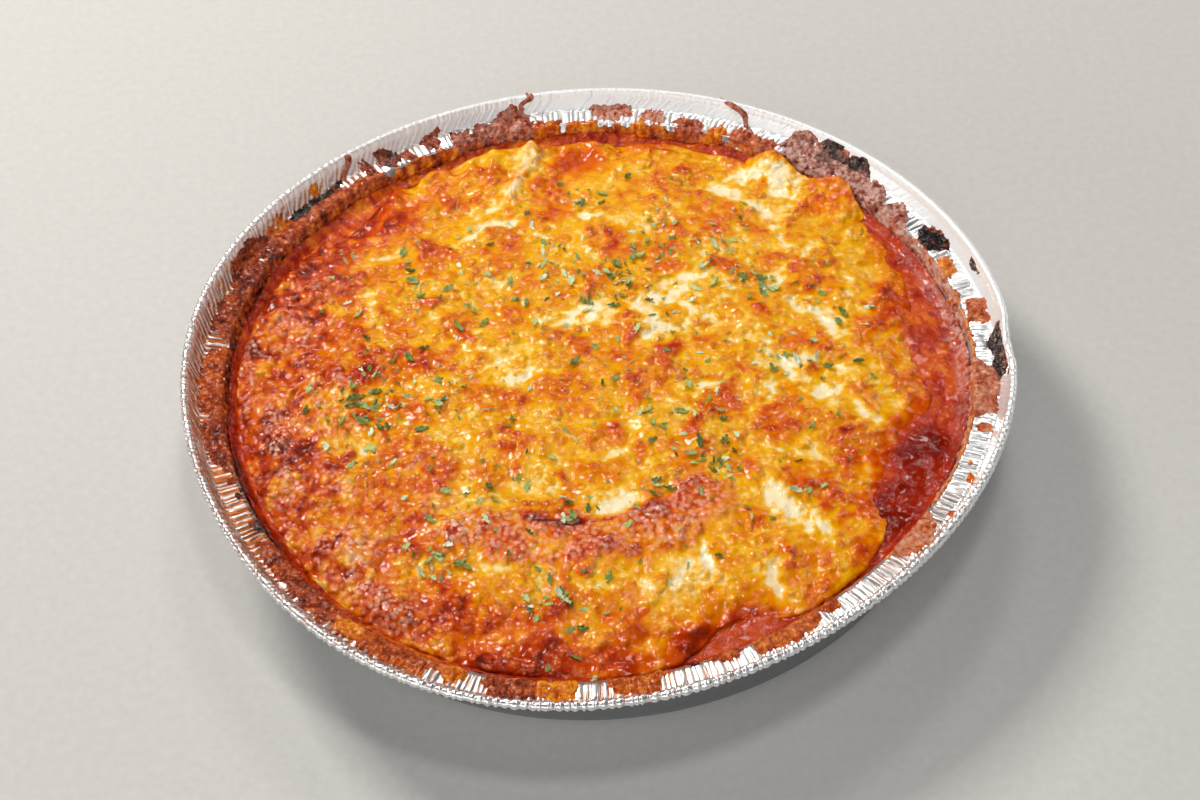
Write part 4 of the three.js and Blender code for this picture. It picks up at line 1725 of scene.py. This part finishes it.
@dataclass
class PastaEdge:
    """The ruffled edge of a pasta sheet that has lifted through the cheese at the far right."""

    cheese: CheeseTop = field(default_factory=CheeseTop)
    start: float = 34.0
    end: float = 59.0
    inner: float = 90.0
    outer: float = 100.3
    thickness: float = 1.2
    lift: float = 0.8
    rise: float = 4.0
    lean: float = 2.6
    humps: tuple[Stretch, ...] = (Stretch(41, 4, 1.0), Stretch(54, 3.5, 0.7))
    rows: int = 44
    columns: int = 150

    def build(self, finish: CheeseFinish) -> bpy.types.Object:
        """Build the ruffle as a thin closed shell, with the finish of the cheese melted over it.

        Args:
            finish: The finish of the cheese on it.

        Returns:
            The finished piece.
        """
        sides = np.linspace(0, 1, self.rows), np.linspace(0, 1, self.columns)
        across, along = np.meshgrid(*sides, indexing="ij")
        angle = np.radians(self.start + (self.end - self.start) * along)
        hump = summed(self.humps, angle)
        radius = self.inner + (self.outer + self.lean * hump - self.inner) * across
        x, y = radius * np.cos(angle), radius * np.sin(angle)
        form = self.cheese.form
        # It rises out of the cheese on three sides, and sinks into it where it hasn't emerged.
        emerging = ease(0, 0.34, across + 0.12 * cloud(x, y, 4, 56))
        emerging = emerging * ease(0, 0.12, along) * ease(1, 0.88, along)
        under = form.dome(np.minimum(radius, self.outer), angle) + across**2 * (self.lift + self.rise * hump)
        curl = 0.35 * across * cloud(x, y, 6, 51)
        rough = 0.3 * cloud(x, y, 3, 52, 2) + 0.4 * domes(x, y, 4, 53, 0.7) - 0.1
        upper = under + (self.thickness + curl + rough) * emerging - 0.7 * (1 - emerging)
        lower = under + (curl - 0.05) * emerging - 1.2 * (1 - emerging)
        points = [form.pan.settle(radius, height, angle).reshape(-1, 3) for height in (upper, lower)]
        brink = ease(0.6, 1.0, across) * emerging
        fields = self.cheese.surface(x, y)
        fields.pop("height")
        fields["bake"] = fields["bake"] + 0.3 * brink * ease(-0.4, 0.6, cloud(x, y, 5, 55)) - 0.06 * emerging
        fields["soak"] = np.maximum(0.5 * fields["soak"], 0.3 * brink)
        fields = {label: np.tile(grid.ravel(), 2) for label, grid in fields.items()}
        kept = np.ones((self.rows - 1, self.columns - 1), bool)
        faces = shell_faces(self.rows, self.columns, kept, False)
        piece = make_piece("pasta_edge_ruffled", np.concatenate(points), faces, fields)
        return settle_in(piece, Slot.PASTA, "pasta_edge", material=finish.material())

# ---------------------------------------------------------------- what has baked onto the foil


@dataclass(frozen=True)
class Smear:
    """A place where sauce has baked onto the foil.

    Its ends are angles in degrees, and its sides are runs in millimetres. Burn goes from 0,
    orange, to 1, black. Pale is a dry, dusty film.
    """

    start: float
    end: float
    low: float
    high: float
    burn: float
    pale: float = 0.0
    thick: float = 0.4

    def share(self, angle: Array, run: Array) -> Array:
        """Return how far inside the smear places are: 1 well inside, less than 0 outside.

        Args:
            angle: Angles in degrees.
            run: Runs in millimetres.

        Returns:
            The shares, up to 1.3.
        """
        middle, half = 0.5 * (self.start + self.end), 0.5 * (self.end - self.start)
        aside = ((angle - middle + 180) % 360 - 180) / half
        along = (2 * run - self.low - self.high) / (self.high - self.low)
        away = (np.abs(aside) ** 2.5 + np.abs(along) ** 2.5) ** 0.4
        return np.clip((1 - away) * self.size() / 1.1, -3, 1.3)

    def size(self) -> float:
        """Return half the smear's smaller side in millimetres, a degree being 1.9 long."""
        return min(0.95 * (self.end - self.start), 0.5 * (self.high - self.low))


@dataclass
class BakedOnCrust:
    """The splashes and boiled-over sauce that have baked onto the wall, ledge and flange."""

    form: PanForm = PanForm()
    columns: int = 2100
    rows: int = 35
    low: float = -4.4
    high: float = 11.6
    pattern_radius: float = 108.0
    filling: float = 0.86
    filled_level: float = 0.16
    sunk: float = 0.22
    seen_from: float = 1.6
    smears: tuple[Smear, ...] = (
        Smear(-52, 2, -14, -0.1, 0.2, 0.9, 0.45), Smear(-4, 32, -14, 0.3, 0.25, 1.1, 0.45),
        Smear(-46, 28, -0.8, 0.6, 0.12, 0.5, 0.9), Smear(3, 8, 1.5, 8, 0.3, 0.3),
        Smear(11, 14, 8.6, 10.4, 0.8, 0.5, 0.3), Smear(13, 19, 0.5, 4.5, 0.15, 0.1, 0.5),
        Smear(19, 25, 0.5, 8, 1, 0, 1.2), Smear(26, 34, -7, 5, 0.4, 1.2, 0.6),
        Smear(32, 47, -8, 7, 0.42, 1.2, 0.8), Smear(38, 43, 5, 11, 0.95, 0.2, 0.5),
        Smear(43, 49, 1, 11.8, 0.9, 0.3, 0.8), Smear(46, 54, -7, 11, 0.5, 1.0, 0.7),
        Smear(55, 63.5, -9, 4.8, 0.35, 0.25), Smear(50, 102, -16, -0.6, 0.24, 0.05, 0.9),
        Smear(64, 67.5, -7, 3, 0.2), Smear(68, 73.5, -6, 4.8, 0.4, 0.3), Smear(77, 81, -7, 1.6, 0.1),
        Smear(86, 92, -8, 2, 0.15), Smear(92, 98, -8, 2.6, 0.3), Smear(75, 79, 1, 6.5, 0.3, 0.9, 0.15),
        Smear(81, 87, 2, 8, 0.3, 0.9, 0.15), Smear(97, 104, -8, 8.8, 0.4, 0.6, 0.35),
        Smear(101, 111, -8, 6, 0.5, 0.4, 0.5), Smear(112, 115, 1.5, 9.5, 0.5, 0.16),
        Smear(117, 119.5, 0.5, 6, 0.5, 0.12), Smear(120, 123.5, 1.5, 9, 0.66, 0.12),
        Smear(124.5, 126.5, 1.5, 9.5, 0.5, 0.12), Smear(104, 126, -14, 0.6, 0.3, 0.04, 0.41),
        Smear(122, 150, -14, 4.4, 0.36, 0.1, 0.5), Smear(131, 142, 2.6, 6.6, 0.98, 0.04, 0.4),
        Smear(134, 136, 5, 9.5, 0.1), Smear(141, 147, 1.5, 8.5, 0.25, 0, 0.41),
        Smear(144, 159, -9, 9.8, 0.5, 0.04, 0.5), Smear(156, 169, -8, 6.6, 0.42, 0.06, 0.41),
        Smear(170, 186, -9, 7, 0.3, 0.05, 0.45), Smear(182, 196.5, -9, 6.4, 0.42, 0.05, 0.45),
        Smear(186, 213, -9, -0.2, 0.8, 0.3, 0.5), Smear(158, 190, -9, -0.4, 0.4, 0.1, 0.5),
        Smear(197.4, 198.8, 0.5, 2.5, 0.4), Smear(201, 202.3, 0.5, 2.5, 0.5),
        Smear(203, 214, -9, 1.4, 0.85, 0.3, 0.5), Smear(206, 208, 1, 2.8, 0.4),
        Smear(211, 222, -9, 5.2, 0.38, 0.08, 0.45), Smear(219, 232, -9, 5.8, 0.45, 0.08, 0.45),
        Smear(229, 234.5, -4, 5.5, 0.12), Smear(234, 246.5, -7, 6.5, 0.3, 0.06, 0.41),
        Smear(246.5, 250.5, -5, 3.8, 0.12), Smear(253, 260, -5, 7, 0.42, 0.06),
        Smear(259.5, 265, -6, 6, 0.1), Smear(269, 277, -6, 5.2, 0.25, 0.06),
        Smear(277.5, 284, -9, 0.6, 0.95), Smear(282, 289, -7, 2.4, 0.38, 0.08),
        Smear(289, 300, -7, 5.2, 0.28, 0.08), Smear(299.5, 304, -6, 2.6, 0.35),
        Smear(315, 323, -6, 6, 0.2, 0.7, 0.4), Smear(324.4, 325.8, 5, 6.6, 0.3),
        Smear(331.4, 332.8, 4.5, 6, 0.3), Smear(334.4, 335.8, 2.5, 4, 0.3),
        Smear(341, 343, 1.5, 6, 0.3, 0.4), Smear(344, 355.5, -7, 7, 0.32, 0.5, 0.7),
        Smear(350.5, 361, 4.5, 10.8, 0.98, 0.15, 0.4), Smear(190, 310, -14, -1.2, 0.5, 0.04, 0.36),
        Smear(140, 200, -14, -1.4, 0.6, 0.04, 0.36),
    )
    burnt_side: Stretch = Stretch(195, 50, 0.1)
    dustless_side: Stretch = Stretch(215, 70, 0.6)
    strands: tuple[tuple[float, float, float, float], ...] = (
        (60.0, 4.0, 66.0, 14.0), (98.0, 8.0, 96.5, 14.5), (129.5, 4.0, 127.0, 14.0),
    )
    strand_points: int = 22
    strand_sides: int = 6
    strand_thick: float = 0.55

    def layer(self, angle: Array, run: Array) -> tuple[Array, Array, Array]:
        """Work out how thick the crust is and how it looks.

        Args:
            angle: Angles in degrees.
            run: Runs along the foil, in millimetres.

        Returns:
            The thickness, less than 0 where the foil is bare, and the shares of burning and
            pale film.
        """
        reach = math.radians(1) * self.pattern_radius
        fade = ease(340, 360, angle)

        def seamless(pattern: Callable[..., Array], *shape: float, squeeze: float = 1.0) -> Array:
            """Lay a pattern round the pan, blended into its own start where the round closes."""
            here, again = (pattern(at * reach, squeeze * run, *shape) for at in (angle, angle - 360))
            return here * (1 - fade) + again * fade

        ragged = seamless(cloud, 5, 61, 4)
        lumpy = 0.75 * seamless(domes, 4.2, 62) + 0.45 * seamless(domes, 1.8, 62)
        thickness = np.full(angle.shape, -1.0)
        weight, burn, pale = np.full(angle.shape, 1e-3), np.full(angle.shape, 0.4e-3), np.zeros(angle.shape)
        for smear in self.smears:
            inside = smear.share(angle, run) + ragged * min(1.5, 0.25 + 0.4 * smear.size())
            lumps = np.minimum(inside, 0.9) * smear.thick * (0.3 + 1.35 * lumpy)
            thickness = np.maximum(thickness, lumps)
            # Where smears overlap, a narrow one sets the look more than a wide one.
            near = np.clip(inside, 0, 1) ** 2 * (1.0 if smear.high - smear.low > 5.2 else 2.5)
            weight += near
            burn += near * smear.burn
            pale += near * smear.pale
        spotty = seamless(cloud, 4, 63, 3)
        charred = np.clip(burn / weight - 0.45, 0, 1)
        streaky = ease(0.5, -1, run) * seamless(cloud, 2.6, 65, 2, squeeze=0.3)
        burnt = burn / weight + (0.16 + 0.7 * charred) * spotty + 0.3 * streaky
        burnt = burnt + self.burnt_side.share(np.radians(angle))
        dusty = pale / weight * (1 - 1.2 * spotty) * (1 - self.dustless_side.share(np.radians(angle)))
        return thickness, burnt, dusty

    def build(self, pan: bpy.types.Object, finish: CrustFinish) -> None:
        """Build the crust on the pleated foil, and the strands that hang over its rim.

        Args:
            pan: The pleated pan that the crust lies on.
            finish: The crust's finish.
        """
        degrees = np.arange(self.columns) * 360 / self.columns
        angle, run = np.meshgrid(degrees, np.linspace(self.low, self.high, self.rows))
        thickness, burn, pale = self.layer(angle, run)
        surface, outward = self.pleated(pan, np.radians(angle), run)
        # It fills the valleys between the pleats, most where it is thick.
        filled = self.filling * ease(0.02, 0.3, thickness)[..., None]
        level = self.smoothed(surface) + self.filled_level * outward
        crumbs = 0.22 * cloud(angle * 1.9, run, 1.5, 64, 2) * ease(0.05, 0.4, thickness)
        upper = surface * (1 - filled) + level * filled
        upper = upper + outward * np.maximum(thickness + crumbs, -0.05)[..., None]
        lower = surface - self.sunk * outward
        kept = np.maximum(thickness[:-1], thickness[1:])
        kept = np.maximum(kept, np.roll(kept, -1, axis=1)) > -0.02
        points = np.concatenate([upper.reshape(-1, 3), lower.reshape(-1, 3)])
        fields = {"burn": np.tile(burn.ravel(), 2), "pale": np.tile(pale.ravel(), 2)}
        crust = make_piece("baked_on_crust", points, shell_faces(self.rows, self.columns, kept, True), fields)
        material = finish.material()
        settle_in(crust, Slot.CRUST, material=material)
        settle_in(self.strings(), Slot.CRUST, material=material)

    def pleated(self, pan: bpy.types.Object, angle: Array, run: Array) -> tuple[Array, Array]:
        """Find the pleated foil's surface by looking straight down on each place of its track.

        Args:
            pan: The pleated pan.
            angle: Angles in radians.
            run: Runs along the foil, in millimetres.

        Returns:
            The points of the surface and the directions out of it, in the pan's millimetres.
        """
        radius, height, out_r, out_h = self.form.on_foil(run)
        place = self.form.dented(radius, height, angle)
        outward = np.stack([out_r * np.cos(angle), out_r * np.sin(angle), out_h], axis=-1)
        tree = BVHTree.FromObject(pan, bpy.context.evaluated_depsgraph_get())
        centre = np.array(self.form.foot_centre)
        starts, reach = (place + centre + self.seen_from * outward) * MM, 2 * self.seen_from * MM
        found = place.copy()
        for index in np.ndindex(*angle.shape):
            hit, _, _, _ = tree.ray_cast(Vector(starts[index]), Vector(-outward[index]), reach)
            if hit is not None:
                found[index] = np.array(hit) / MM - centre
        return found, outward

    @staticmethod
    def smoothed(surface: Array) -> Array:
        """Average the surface over about two pleats along the round."""
        near = sum(np.roll(surface, step, axis=1) for step in range(-5, 6))
        return (near + 0.5 * (np.roll(surface, -6, axis=1) + np.roll(surface, 6, axis=1))) / 12

    def tube(self, first: float, low: float, last: float, high: float) -> Array:
        """Lay one string over the rim as rings of points, with a pole before and after them.

        Args:
            first: The angle of its start, in degrees.
            low: The run of its start, in millimetres.
            last: The angle of its end.
            high: The run of its end.

        Returns:
            The points.
        """
        share = np.linspace(0, 1, self.strand_points)
        bend = 0.6 * np.sin(2.5 * math.pi * share)
        angle = np.radians(first + (last - first) * share**1.3 + bend)
        radius, height, out_r, out_h = self.form.on_foil(low + (high - low) * share)
        # It lies half in the foil, and stays lower than the hem's top.
        middle = self.form.settle(radius + 0.1 * out_r, np.minimum(height, self.form.height - 0.6), angle)
        along = np.gradient(middle, axis=0)
        along /= np.linalg.norm(along, axis=1, keepdims=True)
        out = np.stack([out_r * np.cos(angle), out_r * np.sin(angle), out_h], axis=-1)
        aside = np.cross(along, out)
        thinned = 0.25 + np.sin(math.pi * np.clip(share, 0.04, 0.96)) ** 0.4
        thick = self.strand_thick * thinned * (1 + 0.2 * np.cos(9 * share))
        turns = (np.arange(self.strand_sides) * TURN / self.strand_sides)[None, :, None]
        flat = 0.5 * out[:, None] * np.cos(turns) + 1.5 * aside[:, None] * np.sin(turns)
        ring = middle[:, None] + thick[:, None, None] * flat
        points = np.concatenate([middle[:1], ring.reshape(-1, 3), middle[-1:]])
        points[:, 2] = np.minimum(points[:, 2], self.form.height - 0.05)
        return points

    def strings(self) -> bpy.types.Object:
        """Build the thin strings of sauce that have dried over the rim.

        Returns:
            The strings, without their material.
        """
        tubes = [self.tube(*strand) for strand in self.strands]
        faces = [
            group + number * len(tube) for number, tube in enumerate(tubes)
            for group in turned_faces(self.strand_points, self.strand_sides)
        ]
        points = np.concatenate(tubes)
        fields = {"burn": np.full(len(points), 0.42), "pale": np.full(len(points), 0.55)}
        return make_piece("dried_strands", points, faces, fields)


# ---------------------------------------------------------------- the parsley


@dataclass
class Parsley:
    """Dried parsley, strewn by hand: bits of leaf, some curled, and thin bits of stem."""

    cheese: CheeseTop = field(default_factory=CheeseTop)
    heaps: tuple[tuple[float, float, float, int], ...] = (
        (-61, -5, 7, 44), (-45, -9, 8, 26), (54, -3, 5, 12), (7, 36, 7, 34), (23, 50, 8, 28),
        (42, 43, 8, 24), (45, 30, 6, 18), (-8, 46, 9, 22), (33, -38, 7, 22), (18, -24, 6, 18),
        (31, -15, 6, 12), (14, -45, 5, 8), (-17, -76, 5, 20), (-48, -61, 5, 10), (-41, -66, 5, 8),
        (-8, -94, 7, 9), (-5, -47, 6, 8), (-62, -24, 6, 9), (-57, 9, 6, 12), (-44, 34, 6, 9),
        (-16, 66, 5, 6), (0, 72, 4, 5), (30, 79, 3, 3), (-67, 55, 3, 4), (-68, 44, 3, 4),
        (-20, 20, 16, 22), (10, 10, 16, 22), (-30, -40, 12, 12), (24, 22, 10, 14),
    )
    singles: int = 330
    reach: float = 82.0
    above: float = 0.12
    slope_step: float = 0.8
    kinds: tuple[float, ...] = (0.34, 0.66, 0.86)
    stem_width: float = 2.6
    seed: int = 12

    def chip(self, name: str, curl: float, lobes: float) -> bpy.types.Object:
        """Build one bit of leaf, a millimetre long, as a thin shell.

        Args:
            name: Its name.
            curl: How strongly it is bent, in radians from end to end.
            lobes: How deeply its outline is cut.

        Returns:
            The bit.
        """
        along, across = np.meshgrid(np.linspace(-0.5, 0.5, 8), np.linspace(-1, 1, 4), indexing="ij")
        jagged = 1 + lobes * np.cos(9 * along * math.pi + np.sign(across))
        half = 0.2 * np.clip(1 - (2 * along) ** 2, 0.06, 1) ** 0.45 * jagged
        x, y = along + 0.1 * across * jagged, across * half + 0.25 * along**2
        height = 0.5 * curl * along**2 + (0.4 + curl) * np.abs(across * half) * 0.6 - 0.05
        middle = np.stack([x, y, height], axis=-1).reshape(-1, 3)
        points = np.concatenate([middle + [0, 0, 0.02], middle - [0, 0, 0.02]])
        return make_piece(name, points, shell_faces(8, 4, np.ones((7, 3), bool), False), {}, ORIGIN)

    def stem(self, name: str) -> bpy.types.Object:
        """Build one bent bit of stem, a millimetre long.

        Args:
            name: Its name.

        Returns:
            The bit.
        """
        share = np.linspace(0, 1, 6)
        middle = np.stack([share - 0.5, 0.1 * np.sin(3 * share), 0.12 * np.sin(math.pi * share)], axis=-1)
        turns = np.arange(5) * TURN / 5
        thick = 0.04 * np.array([0.6, 1, 1, 0.95, 0.9, 0.5])[:, None]
        ring = np.stack([np.zeros((6, 5)), thick * np.sin(turns), thick * np.cos(turns)], axis=-1)
        ring = middle[:, None] + ring
        points = np.concatenate([middle[:1], ring.reshape(-1, 3), middle[-1:]])
        return make_piece(name, points, turned_faces(6, 5), {}, ORIGIN)

    def spots(self, draw: np.random.Generator) -> tuple[Array, Array]:
        """Draw where the bits lie: some in heaps, the rest singly over the cheese.

        Args:
            draw: The source of the random numbers.

        Returns:
            The places along x and along y.
        """
        spots = []
        for x, y, spread, count in self.heaps:
            away, turn = 1.35 * spread * draw.random(count) ** 0.6, TURN * draw.random(count)
            spots.append(np.stack([x + away * np.cos(turn), y + away * np.sin(turn)]))
        away = self.reach * np.sqrt((np.arange(self.singles) + 0.5) / self.singles)
        turn = np.arange(self.singles) * GOLDEN + 0.8 * draw.random(self.singles)
        spots.append(np.stack([away * np.cos(turn), away * np.sin(turn)]))
        x, y = np.concatenate(spots, axis=1)
        return x, y

    def strewn(self) -> bpy.types.Object:
        """Place a point for each bit on the cheese, with its size, turn and tone.

        Returns:
            The points as an object.
        """
        draw = np.random.default_rng(self.seed)
        x, y = self.spots(draw)
        count, step = len(x), self.slope_step

        def level(aside: float, beyond: float) -> Array:
            """Return the height of the cheese beside each bit."""
            return self.cheese.surface(x + aside, y + beyond)["height"]

        slope_x = (level(step, 0) - level(-step, 0)) / (2 * step)
        slope_y = (level(0, step) - level(0, -step)) / (2 * step)
        tilt = draw.normal(0, 0.3, (2, count))
        kind = np.digitize(draw.random(count), self.kinds)
        stem = kind == len(self.kinds)
        long, short = 2.0 + 4.0 * draw.random(count) ** 1.6, 0.7 + 3.1 * draw.random(count) ** 1.7
        length = np.where(stem, long, short)
        width = np.where(stem, self.stem_width, length * (0.75 + 0.75 * draw.random(count)))
        fields = {
            "upward": np.stack([tilt[0] - slope_x, tilt[1] - slope_y, np.ones(count)], axis=1),
            "size": np.stack([length, width, np.where(stem, self.stem_width, length)], axis=1),
            "turn": TURN * draw.random(count),
            "kind": kind.astype(float),
            "tone": draw.beta(1.2, 1.3, count),
        }
        pan = self.cheese.form.pan
        points = pan.settle(np.hypot(x, y), level(0, 0) + self.above, np.arctan2(y, x))
        return mesh_object("strewn", points + np.array(pan.foot_centre), [], fields)

    def scattering(self) -> bpy.types.NodeTree:
        """Build the tree that lays one bit at each point.

        Returns:
            The tree.
        """
        tree, given = new_tree("strewn parsley", {
            **{label: ("Object", None) for label in SHAPES},
            "Size": ("Float", 1.0),
            "Leaf": ("Material", None),
        })
        shapes = add_node(tree, "GeometryNodeJoinGeometry")
        # The first to be picked is the last to be joined.
        for label in reversed(SHAPES):
            joins = {"Object": given[label], "As Instance": True}
            shape = add_value(tree, "GeometryNodeObjectInfo", joins, output="Geometry")
            tree.links.new(shape.socket, shapes.inputs[0])
        kind, turn = named(tree, "kind", "turn")
        upward, size = named(tree, "upward", "size", kind="FLOAT_VECTOR")
        facing = add_value(tree, "FunctionNodeAlignRotationToVector", {"Vector": upward}, axis="Z")
        joins = {"Rotation": facing, "Rotate By": add_value(tree, "ShaderNodeCombineXYZ", {2: turn})}
        laid = add_value(tree, "GeometryNodeInstanceOnPoints", {
            "Points": given["Geometry"],
            "Instance": Value(tree, shapes.outputs[0]),
            "Pick Instance": True,
            "Instance Index": add_value(tree, "FunctionNodeFloatToInt", {0: kind}),
            "Rotation": add_value(tree, "FunctionNodeRotateRotation", joins, rotation_space="LOCAL"),
            "Scale": add_value(
                tree, "ShaderNodeVectorMath", {0: size, "Scale": given["Size"]}, operation="SCALE"
            ),
        })
        dress(laid, given["Leaf"])
        return tree

    def build(self, finish: ParsleyFinish) -> bpy.types.Object:
        """Strew the parsley over the cheese.

        Args:
            finish: The leaf's finish.

        Returns:
            The finished piece.
        """
        shapes = [
            self.chip("leaf_flat", 0.3, 0.35), self.chip("leaf_curled", 1.3, 0.5),
            self.chip("leaf_rolled", 2.4, 0.2), self.stem("leaf_stem"),
        ]
        inputs = {**dict(zip(SHAPES, shapes)), "Leaf": finish.material()}
        bits = realised(self.strewn(), self.scattering(), inputs, "parsley_flakes")
        for shape in shapes:
            bpy.data.objects.remove(shape)
        return settle_in(bits, Slot.PARSLEY, "cheese_top")


# ---------------------------------------------------------------- the studio


@dataclass(frozen=True)
class Softbox:
    """A soft light: where it stands from the food, in degrees and metres, its size and power."""

    name: str
    azimuth: float
    elevation: float
    distance: float
    width: float
    tall: float
    watts: float
    tint: str = "ffffff"

    def build(self) -> None:
        """Put the light up, aimed at the food."""
        turn, lift = math.radians(self.azimuth), math.radians(self.elevation)
        away = Vector((math.cos(lift) * math.cos(turn), math.cos(lift) * math.sin(turn), math.sin(lift)))
        light = bpy.data.lights.new(self.name, "AREA")
        light.shape = "RECTANGLE"
        light.size, light.size_y = self.width, self.tall
        light.energy = self.watts
        light.color = linear(self.tint)[:3]
        lamp = new_object(self.name, light)
        lamp.location = away * self.distance
        lamp.rotation_euler = away.to_track_quat("Z", "Y").to_euler()


@dataclass
class Studio:
    """A pale floor, soft lights and the camera."""

    target: tuple[float, float, float] = (0.0001, -0.016, 0.035)
    distance: float = 0.5875
    elevation: float = 47.14
    roll: float = -4.26
    lens: float = 66.0
    sensor: float = 36.0
    floor_half: float = 2.5
    world: tuple[float, float, float, float] = (0.05, 0.05, 0.0505, 1.0)
    softboxes: tuple[Softbox, ...] = (
        Softbox("window", 132, 47, 1.1, 0.3, 0.3, 8.6, "fffaf4"),
        Softbox("far_window", 78, 57, 1.1, 0.2, 0.2, 1.6, "fffaf4"),
        Softbox("overhead", 300, 78, 1.2, 0.16, 0.16, 2.2),
        Softbox("back_strip", 92, 38, 1.3, 0.9, 0.05, 0.5),
        Softbox("front_fill", 266, 42, 1.2, 0.6, 0.5, 2.1),
        Softbox("low_side", 205, 14, 1.2, 1.3, 0.4, 5.0),
        Softbox("low_front", 262, 14, 1.2, 1.2, 0.4, 3.3),
        Softbox("low_right", 338, 10, 1.2, 1.2, 0.35, 1.6),
        Softbox("far_right", 42, 17, 1.2, 0.9, 0.3, 2.0),
    )

    def camera(self) -> None:
        """Set the camera at the angle from which the dish is seen."""
        lift, turn = math.radians(self.elevation), math.radians(self.roll)
        back = Vector((0, -math.cos(lift), math.sin(lift)))
        right = Vector((1, 0, 0))
        up = right.cross(-back)
        side = right * math.cos(turn) + up * math.sin(turn)
        top = up * math.cos(turn) - right * math.sin(turn)
        data = bpy.data.cameras.new("camera")
        data.lens, data.sensor_width = self.lens, self.sensor
        data.clip_start = 0.01
        camera = new_object("camera", data)
        place = Matrix((side, top, back)).transposed().to_4x4()
        place.translation = Vector(self.target) + back * self.distance
        camera.matrix_world = place
        bpy.context.scene.camera = camera

    def floor(self) -> None:
        """Lay the floor, a sheet of matt paper."""
        half = self.floor_half
        mesh = bpy.data.meshes.new("floor")
        corners = [(-half, -half, 0), (half, -half, 0), (half, half, 0), (-half, half, 0)]
        mesh.from_pydata(corners, [], [(0, 1, 2, 3)])
        mesh.materials.append(PaperFinish().material())
        new_object("floor", mesh)

    def build(self) -> None:
        """Put up the camera, the lights and the floor."""
        self.camera()
        self.floor()
        for softbox in self.softboxes:
            softbox.build()
        world = bpy.data.worlds.new("studio")
        world.use_nodes = True
        world.node_tree.nodes["Background"].inputs["Color"].default_value = self.world
        bpy.context.scene.world = world
        bpy.context.scene.view_settings.view_transform = "Standard"


def main() -> None:
    """Build every piece in turn and report it."""
    logging.basicConfig(level=logging.INFO, format="%(name)s: %(message)s")
    Studio().build()
    pan = FoilPan().build(FoilFinish())
    SaucedBody().build(SauceFinish())
    cheese = CheeseTop()
    cheese.build(CheeseFinish())
    PastaEdge(cheese).build(CheeseFinish(name="cheese_on_pasta_edge"))
    BakedOnCrust().build(pan, CrustFinish())
    Parsley(cheese).build(ParsleyFinish())


if __name__ == "__main__":
    main()
